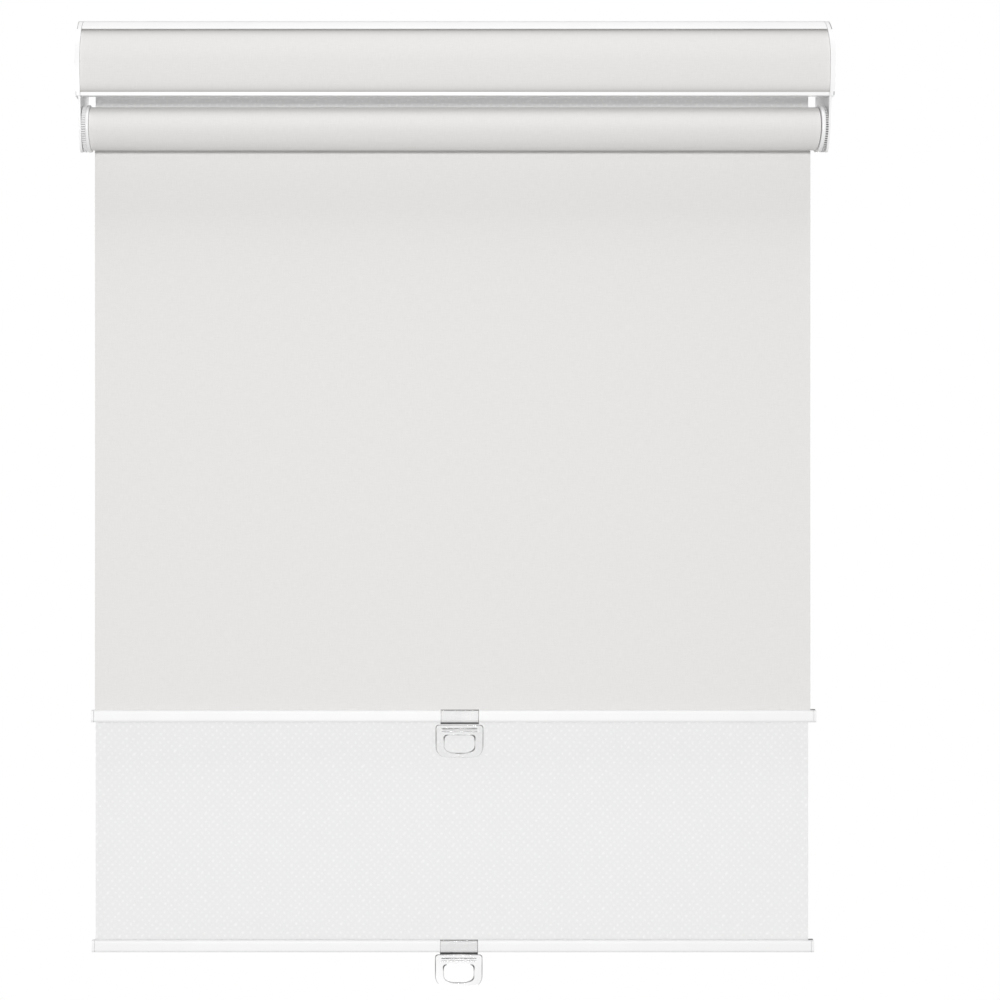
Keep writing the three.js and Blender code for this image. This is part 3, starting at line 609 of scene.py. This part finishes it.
def make_clip(middle, half, centre_y, bar_top):
    """A clip round the bar, open at the top between two lips. Each row of its section is (y, z, mark),
    the mark being painted shade at the lips and along the foot, and the rows of one side are turned
    over for the other. Its ends carry painted shade as well, and its walls are painted a little darker
    than the plate."""
    inner = bar_width / 2 + clip_gap
    outer = inner + clip_wall
    foot = -bar_height - clip_gap
    lip_top = clip_gap + clip_wall / 2
    lip_inner = outer - clip_wall - clip_lip
    shade = clip_lip_shade
    front = np.array([
        (-lip_inner, lip_top, shade), (-outer, lip_top, shade), (-outer, -clip_rim, 0),
        (-outer, foot + clip_rim, 0), (-outer, foot, 1), (-outer, foot - clip_wall, 1),
    ])
    within = np.array([
        (lip_inner, clip_gap, shade), (inner, clip_gap, shade), (inner, -clip_rim, 0),
        (inner, foot + clip_rim, 0), (inner, foot, 1),
    ])
    turned = np.array([-1, 1, 1])
    section = np.concatenate([front, front[::-1] * turned, within, within[::-1] * turned])
    steps = 5
    outline = rounded_outline(section[:, :2], clip_corner, steps) + np.array([centre_y, bar_top])
    ends = [
        (-half, clip_end_shades["left"]), (clip_rim - half, 0),
        (half - clip_rim, 0), (half, clip_end_shades["right"]),
    ]
    points, faces = carry_along_x(outline, [middle + x for x, _ in ends])
    end_marks = np.array([mark for _, mark in ends])[:, None]
    marks = np.maximum(np.maximum(end_marks, clip_shade), np.repeat(section[:, 2], steps)[None])
    return points, faces, marks


def make_pull(name, node, bar):
    """A clip round the bar, a neck, a plate with a finger hole and two ribs above the hole, with painted
    shade on the rims, ribs and clip.
    """
    low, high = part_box(node)
    bar_low, bar_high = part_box(bar)
    middle = (low.x + high.x) / 2
    centre_y = (bar_low.y + bar_high.y) / 2
    half = clip_width / 2
    clip = make_clip(middle, half, centre_y, bar_high.z)
    top = bar_high.z - bar_height - clip_gap - clip_wall - plate_neck
    outer, hole = plate_outlines(top, middle)
    plate_half = plate_width / 2
    hole_half = hole_width / 2
    hole_top = top - hole_drop
    side_z = top - plate_height / 3
    outer_strength = rim_strength(outer, plate_rim_shade, [
        (middle - plate_half, top, plate_corner_fade, 1),
        (middle + plate_half, top, plate_corner_fade, 1),
        (middle - plate_half, side_z, plate_side_fade, plate_side_shades["left"]),
        (middle + plate_half, side_z, plate_side_fade, plate_side_shades["right"]),
    ])
    hole_strength = rim_strength(hole, hole_rim_shade, [
        (middle - hole_half, hole_top, hole_corner_fade, 1),
        (middle + hole_half, hole_top, hole_corner_fade, 1),
        (middle, hole_top - hole_height, hole_foot_fade, hole_foot_shade),
        (middle + hole_half, hole_top - hole_height, hole_foot_corner_fade, 1),
    ])
    plate = make_plate(outer, hole, centre_y, outer_strength, hole_strength)
    neck_half = plate_thickness / 2
    neck_points, neck_faces = carry_along_x(
        rounded_outline([
            (centre_y - neck_half, top - clip_gap), (centre_y + neck_half, top - clip_gap),
            (centre_y + neck_half, top + plate_neck + clip_gap),
            (centre_y - neck_half, top + plate_neck + clip_gap),
        ], clip_gap / 2, 3),
        [middle - half, middle + half],
    )
    neck = (neck_points, neck_faces, np.zeros(len(neck_points)))
    # Each rib carries painted shade of its own strength
    ribs = [
        rib(middle, half - clip_rim, centre_y - neck_half, top - drop, mark)
        for drop, mark in zip(rib_drops, rib_shades)
    ]
    points, faces, marks = joined(clip, plate, neck, *ribs)
    pull = make_piece(name, points, faces, sharp_angle=50)
    # The marks are painted shade on the rims, ribs and clip
    mark_points(pull, "rim", marks)
    flatten_normals(pull)
    return pull


def rib(middle, half, y, z, mark):
    """A bar of round section along x. Its radius is the root of one less the 24th power of the way
    from its middle to its end, and at each end a small share of the full radius."""
    stations = 25
    sides = 10
    along = np.linspace(-1, 1, stations)
    thin = np.sqrt(np.clip(1 - np.abs(along) ** 24, 0, 1)) * rib_radius
    thin = np.maximum(thin, rib_radius * 0.05)
    ring = 2 * math.pi * np.arange(sides) / sides
    points = np.zeros((stations, sides, 3))
    points[..., 0] = (middle + half * along)[:, None]
    points[..., 1] = y + thin[:, None] * np.cos(ring)
    points[..., 2] = z + thin[:, None] * np.sin(ring)
    faces = grid_quads(stations, sides, wrap_columns=True).tolist()
    return points.reshape(-1, 3), faces + end_faces(stations, sides), np.full(stations * sides, mark)


# Materials

def grey(level, warm=0.0):
    """A grey as it shows on screen, from 0 to 255, turned to the linear value. Warmth adds red and
    takes blue away."""
    def linear(value):
        share = value / 255
        return ((share + 0.055) / 1.055) ** 2.4
    return (linear(level + warm), linear(level), linear(level - warm), 1.0)


def new_group(name, inputs, outputs):
    """A node group with float, colour or vector sockets."""
    kinds = {"value": "NodeSocketFloat", "colour": "NodeSocketColor", "vector": "NodeSocketVector"}
    group = bpy.data.node_groups.new(name, "ShaderNodeTree")
    for label, kind in inputs:
        group.interface.new_socket(label, in_out="INPUT", socket_type=kinds[kind])
    for label, kind in outputs:
        group.interface.new_socket(label, in_out="OUTPUT", socket_type=kinds[kind])
    start = group.nodes.new("NodeGroupInput")
    end = group.nodes.new("NodeGroupOutput")
    return group, start, end


def connect(tree, source, target):
    """Links a socket, or sets a plain value."""
    if isinstance(source, bpy.types.NodeSocket):
        tree.links.new(source, target)
    else:
        target.default_value = source


def calculate(tree, operation, *values):
    step = tree.nodes.new("ShaderNodeMath")
    step.operation = operation
    for value, socket in zip(values, step.inputs):
        connect(tree, value, socket)
    return step.outputs[0]


def stretched(tree, vector, scale):
    """The vector with each part multiplied by its own scale."""
    step = tree.nodes.new("ShaderNodeVectorMath")
    step.operation = "MULTIPLY"
    connect(tree, vector, step.inputs[0])
    step.inputs[1].default_value = scale
    return step.outputs[0]


def noise(tree, vector, scale, detail=2.0):
    step = tree.nodes.new("ShaderNodeTexNoise")
    connect(tree, vector, step.inputs["Vector"])
    connect(tree, scale, step.inputs["Scale"])
    step.inputs["Detail"].default_value = detail
    return step.outputs["Fac"]


def spread(tree, value, low, high):
    """The value's middle range stretched over low to high."""
    step = tree.nodes.new("ShaderNodeMapRange")
    connect(tree, value, step.inputs["Value"])
    step.inputs["From Min"].default_value = 0.3
    step.inputs["From Max"].default_value = 0.7
    connect(tree, low, step.inputs["To Min"])
    connect(tree, high, step.inputs["To Max"])
    return step.outputs[0]


def blended(tree, share, first, second):
    step = tree.nodes.new("ShaderNodeMix")
    step.data_type = "RGBA"
    connect(tree, share, step.inputs["Factor"])
    colours = [socket for socket in step.inputs if socket.type == "RGBA"]
    connect(tree, first, colours[0])
    connect(tree, second, colours[1])
    return next(socket for socket in step.outputs if socket.type == "RGBA")


def make_weave_group():
    """Plain weave: the height is the product of two sines one thread apart, and the shade adds
    threads that are thicker for a stretch, drawn as noise stretched along each direction."""
    group, start, end = new_group(
        "woven_threads",
        [("Place", "vector"), ("Threads", "value"), ("Slub", "value")],
        [("Height", "value"), ("Shade", "value")],
    )
    parts = group.nodes.new("ShaderNodeSeparateXYZ")
    group.links.new(start.outputs["Place"], parts.inputs[0])
    waves = []
    for part in ("X", "Y"):
        turn = calculate(group, "MULTIPLY", parts.outputs[part], start.outputs["Threads"])
        waves.append(calculate(group, "SINE", calculate(group, "MULTIPLY", turn, math.pi)))
    weave = calculate(group, "MULTIPLY", *waves)
    across = noise(group, stretched(group, start.outputs["Place"], (90, 900, 1)), 1.0, 1.0)
    along = noise(group, stretched(group, start.outputs["Place"], (900, 90, 1)), 1.0, 1.0)
    slubs = calculate(group, "SUBTRACT", calculate(group, "ADD", across, along), 1.0)
    shade = calculate(group, "MULTIPLY", slubs, start.outputs["Slub"])
    height = calculate(group, "ADD", calculate(group, "MULTIPLY", weave, 0.5), shade)
    group.links.new(height, end.inputs["Height"])
    group.links.new(calculate(group, "ADD", shade, 0.5), end.inputs["Shade"])
    return group


def make_dot_group():
    """Raised dots in staggered columns: the product of two cosines is high where both are at a peak
    or both at a trough. A slow noise shifts the dots a little and makes some of them fainter."""
    group, start, end = new_group(
        "raised_dots",
        [("Place", "vector"), ("Columns", "value"), ("Rows", "value")],
        [("Height", "value")],
    )
    parts = group.nodes.new("ShaderNodeSeparateXYZ")
    group.links.new(start.outputs["Place"], parts.inputs[0])
    shift = noise(group, start.outputs["Place"], 90.0)
    waves = []
    for part, label in (("X", "Columns"), ("Y", "Rows")):
        turn = calculate(group, "MULTIPLY", parts.outputs[part], start.outputs[label])
        turn = calculate(group, "ADD", turn, calculate(group, "MULTIPLY", shift, 1.4))
        waves.append(calculate(group, "COSINE", calculate(group, "MULTIPLY", turn, math.pi)))
    peak = calculate(group, "MAXIMUM", calculate(group, "MULTIPLY", *waves), 0.0)
    strength = spread(group, noise(group, start.outputs["Place"], 210.0), 0.1, 1.0)
    dot = calculate(group, "MULTIPLY", calculate(group, "POWER", peak, 1.6), strength)
    group.links.new(dot, end.inputs["Height"])
    return group


def make_grain_group():
    """Two scales of noise, for the fine skin of paint, plastic or metal."""
    group, start, end = new_group(
        "fine_grain",
        [("Place", "vector"), ("Grain", "value")],
        [("Fine", "value"), ("Broad", "value")],
    )
    fine = noise(group, start.outputs["Place"], start.outputs["Grain"], 3.0)
    broad = noise(group, start.outputs["Place"], 22.0, 2.0)
    group.links.new(fine, end.inputs["Fine"])
    group.links.new(broad, end.inputs["Broad"])
    return group


weave_group = make_weave_group()
dot_group = make_dot_group()
grain_group = make_grain_group()


def placed_group(tree, group, **values):
    step = tree.nodes.new("ShaderNodeGroup")
    step.node_tree = group
    for label, value in values.items():
        connect(tree, value, step.inputs[label])
    return step


def new_material(name):
    material = bpy.data.materials.new(name)
    material.use_nodes = True
    tree = material.node_tree
    return material, tree, tree.nodes["Principled BSDF"]


def place_of(tree, flat=False):
    """Where a point is: on the cloth's own map, or in the object's metres."""
    source = tree.nodes.new("ShaderNodeTexCoord")
    return source.outputs["UV" if flat else "Object"]


def upright(tree, place):
    """The object's x and z as a flat vector, for cloth that hangs in that plane."""
    parts = tree.nodes.new("ShaderNodeSeparateXYZ")
    tree.links.new(place, parts.inputs[0])
    flat = tree.nodes.new("ShaderNodeCombineXYZ")
    tree.links.new(parts.outputs["X"], flat.inputs["X"])
    tree.links.new(parts.outputs["Z"], flat.inputs["Y"])
    return flat.outputs[0]


def raise_surface(tree, shader, height, distance):
    bump = tree.nodes.new("ShaderNodeBump")
    bump.inputs["Distance"].default_value = distance
    connect(tree, height, bump.inputs["Height"])
    tree.links.new(bump.outputs["Normal"], shader.inputs["Normal"])


def cloth_place(tree, hanging):
    return upright(tree, place_of(tree)) if hanging else place_of(tree, flat=True)


def marked(tree, name):
    """A piece's own number at each of its points."""
    source = tree.nodes.new("ShaderNodeAttribute")
    source.attribute_name = name
    return source.outputs["Fac"]


def linen_material(name, light, dark, hanging, shaded=None):
    """Dense linen-look cloth, with painted shade where the piece is marked as shaded."""
    material, tree, shader = new_material(name)
    weave = placed_group(tree, weave_group, Place=cloth_place(tree, hanging), Threads=1400.0, Slub=0.6)
    colour = blended(tree, spread(tree, weave.outputs["Shade"], 0.0, 1.0), dark, light)
    if shaded:
        # Painted shade: the colour goes towards a mid grey where the piece is marked
        colour = blended(tree, marked(tree, shaded), colour, grey(170, 2))
    connect(tree, colour, shader.inputs["Base Color"])
    shader.inputs["Roughness"].default_value = 0.9
    shader.inputs["Specular IOR Level"].default_value = 0.25
    shader.inputs["Sheen Weight"].default_value = 0.15
    raise_surface(tree, shader, weave.outputs["Height"], linen_relief)
    return material


def mixed(tree, share, first, second):
    """A share of the second shader, and the first for the rest."""
    both = tree.nodes.new("ShaderNodeMixShader")
    connect(tree, share, both.inputs["Fac"])
    tree.links.new(first, both.inputs[1])
    tree.links.new(second, both.inputs[2])
    return both.outputs["Shader"]


def let_light_through(tree, shader, colour, share):
    """Adds the light that comes through a cloth from behind, in place of a share of the rest."""
    through = tree.nodes.new("ShaderNodeBsdfTranslucent")
    connect(tree, colour, through.inputs["Color"])
    both = mixed(tree, share, shader.outputs["BSDF"], through.outputs["BSDF"])
    tree.links.new(both, tree.nodes["Material Output"].inputs["Surface"])


def dotted_material(name, light, dark, hanging, through_share=0.0):
    """Light cloth with raised dots over a fine weave."""
    material, tree, shader = new_material(name)
    place = cloth_place(tree, hanging)
    weave = placed_group(tree, weave_group, Place=place, Threads=1800.0, Slub=0.3)
    dots = placed_group(tree, dot_group, Place=place, Columns=227.0, Rows=215.0)
    colour = blended(tree, dots.outputs["Height"], dark, light)
    connect(tree, colour, shader.inputs["Base Color"])
    if through_share:
        let_light_through(tree, shader, colour, through_share)
    shader.inputs["Roughness"].default_value = 0.85
    shader.inputs["Specular IOR Level"].default_value = 0.3
    shader.inputs["Sheen Weight"].default_value = 0.1
    height = calculate(tree, "ADD", calculate(tree, "MULTIPLY", weave.outputs["Height"], 0.3),
                       dots.outputs["Height"])
    raise_surface(tree, shader, height, dot_relief)
    return material


def skin_material(name, light, dark, grain, rough, metallic=0.0, relief=skin_relief,
                  stretch=(1, 1, 1), shaded=None):
    """Paint, plastic or metal: the broad noise shades it a little, the fine noise gives its skin, and
    it takes painted shade, a near black, where the piece is marked as shaded."""
    material, tree, shader = new_material(name)
    place = stretched(tree, place_of(tree), stretch)
    skin = placed_group(tree, grain_group, Place=place, Grain=grain)
    colour = blended(tree, spread(tree, skin.outputs["Broad"], 0.0, 1.0), dark, light)
    if shaded:
        # Painted shade: a near black where the piece is marked
        colour = blended(tree, marked(tree, shaded), colour, grey(25))
    connect(tree, colour, shader.inputs["Base Color"])
    connect(tree, spread(tree, skin.outputs["Fine"], rough[0], rough[1]), shader.inputs["Roughness"])
    shader.inputs["Metallic"].default_value = metallic
    raise_surface(tree, shader, skin.outputs["Fine"], relief)
    return material


def clear_material(name, tint, rim):
    """Clear moulded plastic with faint flow marks in its skin. Where the piece is marked, a dark grey is
    mixed in as painted shade on its rims, and it lets the lamps' light and soft light through to what
    lies behind it."""
    material, tree, shader = new_material(name)
    skin = placed_group(tree, grain_group, Place=place_of(tree), Grain=260.0)
    colour = blended(tree, spread(tree, skin.outputs["Broad"], 0.0, 1.0), tint, (1, 1, 1, 1))
    connect(tree, colour, shader.inputs["Base Color"])
    connect(tree, spread(tree, skin.outputs["Fine"], 0.04, 0.09), shader.inputs["Roughness"])
    shader.inputs["IOR"].default_value = 1.49
    shader.inputs["Transmission Weight"].default_value = 1.0
    raise_surface(tree, shader, skin.outputs["Broad"], flow_relief)
    # A dark grey shader, for the painted shade on the rims
    edge = tree.nodes.new("ShaderNodeBsdfPrincipled")
    faint = spread(tree, skin.outputs["Broad"], 0.0, 0.08)
    connect(tree, blended(tree, faint, rim, tint), edge.inputs["Base Color"])
    edge.inputs["Roughness"].default_value = 0.35
    edge.inputs["Specular IOR Level"].default_value = 0.2
    solid = mixed(tree, marked(tree, "rim"), shader.outputs["BSDF"], edge.outputs["BSDF"])
    rays = tree.nodes.new("ShaderNodeLightPath")
    passing = calculate(tree, "MAXIMUM", rays.outputs["Is Shadow Ray"], rays.outputs["Is Diffuse Ray"])
    open_air = tree.nodes.new("ShaderNodeBsdfTransparent")
    whole = mixed(tree, passing, solid, open_air.outputs["BSDF"])
    tree.links.new(whole, tree.nodes["Material Output"].inputs["Surface"])
    return material


finishes = {
    "linen_hanging": linen_material("linen_hanging", grey(235, 1.3), grey(231, 1.3), True),
    # The wound linen is the front blind's own cloth, given a few levels darker than its hanging copy as
    # painted shade on the roll
    "linen_wound": linen_material("linen_wound", grey(232, 1.4), grey(228, 1.4), False),
    # The valance cloth carries painted shade under the valance's lips
    "linen_valance": linen_material("linen_valance", grey(231, 1.4), grey(227, 1.4), False, "painted_shade_under_lip"),
    "dotted_hanging": dotted_material("dotted_hanging", grey(251), grey(241), True, 0.5),
    "dotted_wound": dotted_material("dotted_wound", grey(246), grey(237), False),
    "valance_paint": skin_material("valance_paint", grey(251), grey(248), 900.0, (0.32, 0.42)),
    "bar_paint": skin_material("bar_paint", grey(248), grey(246), 900.0, (0.42, 0.52)),
    "bracket_paint": skin_material("bracket_paint", grey(249), grey(246), 900.0, (0.35, 0.45)),
    "white_plastic": skin_material("white_plastic", grey(249), grey(247), 500.0, (0.3, 0.4)),
    # The rings carry painted shade in the notches of their serrations
    "ring_plastic": skin_material(
        "ring_plastic", grey(250), grey(247), 500.0, (0.25, 0.35), shaded="painted_groove_shade"),
    # A mid grey for the painted shadow in the caps' seams and at the bars' slot ends
    "painted_shadow_grey": skin_material("painted_shadow_grey", grey(132), grey(122), 400.0, (0.5, 0.6)),
    "nylon": skin_material("nylon", grey(236, 2), grey(230, 3), 400.0, (0.4, 0.55)),
    "tube_metal": skin_material(
        "tube_metal", grey(205), grey(190), 700.0, (0.25, 0.4), 1.0, metal_relief, (0.04, 1, 1)),
    "spring_steel": skin_material(
        "spring_steel", grey(165), grey(140), 800.0, (0.2, 0.35), 1.0, metal_relief, (0.2, 1, 1)),
    # The clear plastic's second colour is the near black of the rims' painted shade
    "clear_plastic": clear_material("clear_plastic", grey(244), grey(45)),
}


def give(piece, finish):
    piece.data.materials.clear()
    piece.data.materials.append(finishes[finish])


def fit(piece, body, node, finish):
    """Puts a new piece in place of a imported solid, on that solid's body."""
    give(piece, finish)
    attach(piece, body)
    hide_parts(node)


blinds = (
    ("front", front_axis, front_roll_radius, front_cloth_thickness, "linen", 0.4),
    ("rear", rear_axis, rear_roll_radius, rear_cloth_thickness, "dotted", 1.9),
)
for blind, axis, roll_radius, thickness, cloth, phase in blinds:
    hanging, size = make_hanging_cloth(
        f"{blind}_hanging_cloth", f"{blind}_fabric_panel", axis, roll_radius, thickness, phase)
    give(hanging, f"{cloth}_hanging")
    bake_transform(hanging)
    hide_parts(f"{blind}_fabric_panel")
    wound = make_wound_cloth(
        f"{blind}_wound_cloth", f"{blind}_fabric_roll", axis, roll_radius, thickness)
    fit(wound, f"{blind}_roller", f"{blind}_fabric_roll", f"{cloth}_wound")
    for end, bore in (("tension", mandrel_bore), ("idle", pin_bore)):
        wheel = make_wheel(f"{blind}_{end}_ring", f"{blind}_{end}_wheel", axis, end, bore)
        fit(wheel, f"{blind}_{end}", f"{blind}_{end}_wheel", "ring_plastic")
    spring = make_spring(f"{blind}_spring_coil", f"{blind}_torsion_spring", axis)
    fit(spring, "root", f"{blind}_torsion_spring", "spring_steel")
    pull = make_pull(f"{blind}_pull", f"{blind}_pull_handle", f"{blind}_hem_bar")
    fit(pull, f"{blind}_blind", f"{blind}_pull_handle", "clear_plastic")

    # A dark block as painted shadow at the open right end of the bar's slot
    slot_shadow = make_slot_shadow(f"{blind}_bar_slot_shadow", f"{blind}_fabric_panel", f"{blind}_hem_bar")
    give(slot_shadow, "painted_shadow_grey")
    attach(slot_shadow, f"{blind}_blind")

# Dark strips as painted shadow in the end caps' seams
for side, end in ((-1, "left"), (1, "right")):
    for place, heights in (("upper", upper_seam), ("lower", lower_seam)):
        seam = make_seam_shadow(f"{end}_cap_{place}_seam", side, seam_widths[end], heights)
        give(seam, "painted_shadow_grey")
        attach(seam, "root")

valance_cloth, size = make_valance_cloth("valance_cloth")
fit(valance_cloth, "root", "fascia_insert", "linen_valance")

solid_finishes = (
    (("fascia",), "valance_paint", fascia_edge),
    (("left_bracket", "right_bracket"), "bracket_paint", bracket_edge),
    (("left_end_cap", "right_end_cap"), "white_plastic", cap_edge),
    (("front_hem_bar", "rear_hem_bar"), "bar_paint", bar_edge),
    (("front_hem_cap_left", "front_hem_cap_right", "rear_hem_cap_left", "rear_hem_cap_right"),
     "white_plastic", cap_edge),
    (("front_hem_spline", "rear_hem_spline"), "nylon", spline_edge),
    (("front_roller_tube", "rear_roller_tube"), "tube_metal", tube_edge),
    (("front_drive_plug", "rear_drive_plug", "front_idle_plug", "rear_idle_plug"), "nylon", inner_edge),
    (("front_spring_socket", "rear_spring_socket", "front_idle_socket", "rear_idle_socket"),
     "nylon", inner_edge),
    (("front_spring_mandrel", "rear_spring_mandrel"), "nylon", inner_edge),
    (("front_idle_pin", "rear_idle_pin"), "spring_steel", inner_edge),
)
for names, finish, width in solid_finishes:
    for name in names:
        give(nodes[name], finish)
        finish_edges(name, width)


# Floor, light and camera

def make_floor():
    """A plain round floor."""
    sides = 96
    turn = 2 * math.pi * np.arange(sides) / sides
    level = floor_level + 0 * turn
    ring = np.stack([floor_radius * np.cos(turn), floor_radius * np.sin(turn), level], axis=-1)
    mesh = bpy.data.meshes.new("floor")
    mesh.from_pydata(ring.tolist(), [], [list(range(sides))])
    floor = bpy.data.objects.new("floor", mesh)
    bpy.context.scene.collection.objects.link(floor)
    material, tree, shader = new_material("floor")
    skin = placed_group(tree, grain_group, Place=place_of(tree), Grain=30.0)
    colour = blended(tree, skin.outputs["Broad"], grey(243), grey(246))
    connect(tree, colour, shader.inputs["Base Color"])
    shader.inputs["Roughness"].default_value = 0.8
    mesh.materials.append(material)


def make_lamp(name, place, size, power):
    data = bpy.data.lights.new(name, "AREA")
    data.shape = "RECTANGLE"
    data.size, data.size_y = size
    data.energy = power
    lamp = bpy.data.objects.new(name, data)
    bpy.context.scene.collection.objects.link(lamp)
    lamp.location = place
    lamp.rotation_mode = "QUATERNION"
    lamp.rotation_quaternion = (Vector(lamp_aim) - Vector(place)).to_track_quat("-Z", "Y")


def make_world():
    """White where the camera, a reflection or glass looks past the object, and a softer light on
    everything else."""
    world = bpy.data.worlds.new("studio")
    bpy.context.scene.world = world
    world.use_nodes = True
    tree = world.node_tree
    background = tree.nodes["Background"]
    background.inputs["Color"].default_value = (1, 1, 1, 1)
    rays = tree.nodes.new("ShaderNodeLightPath")
    seen = calculate(tree, "MAXIMUM", rays.outputs["Is Camera Ray"], rays.outputs["Is Glossy Ray"])
    seen = calculate(tree, "MAXIMUM", seen, rays.outputs["Is Transmission Ray"])
    strength = calculate(tree, "MULTIPLY_ADD", seen, 1 - ambient_light, ambient_light)
    tree.links.new(strength, background.inputs["Strength"])


def make_camera():
    data = bpy.data.cameras.new("camera")
    data.sensor_width = camera_sensor
    data.lens = camera_lens
    data.shift_x = camera_shift
    camera = bpy.data.objects.new("camera", data)
    bpy.context.scene.collection.objects.link(camera)
    camera.location = camera_place
    camera.rotation_euler = (math.pi / 2, 0, 0)
    bpy.context.scene.camera = camera


make_floor()
make_world()
make_lamp("front_lamp", place=(-0.15, -4.5, -0.32), size=(1.3, 0.5), power=108)
make_lamp("high_lamp", place=(0, -0.7, 1.9), size=(2.0, 1.0), power=16)
make_lamp("back_lamp", place=(0.4, 3.2, -0.2), size=(2.0, 1.6), power=25)
make_camera()
bpy.context.scene.view_settings.view_transform = "Standard"
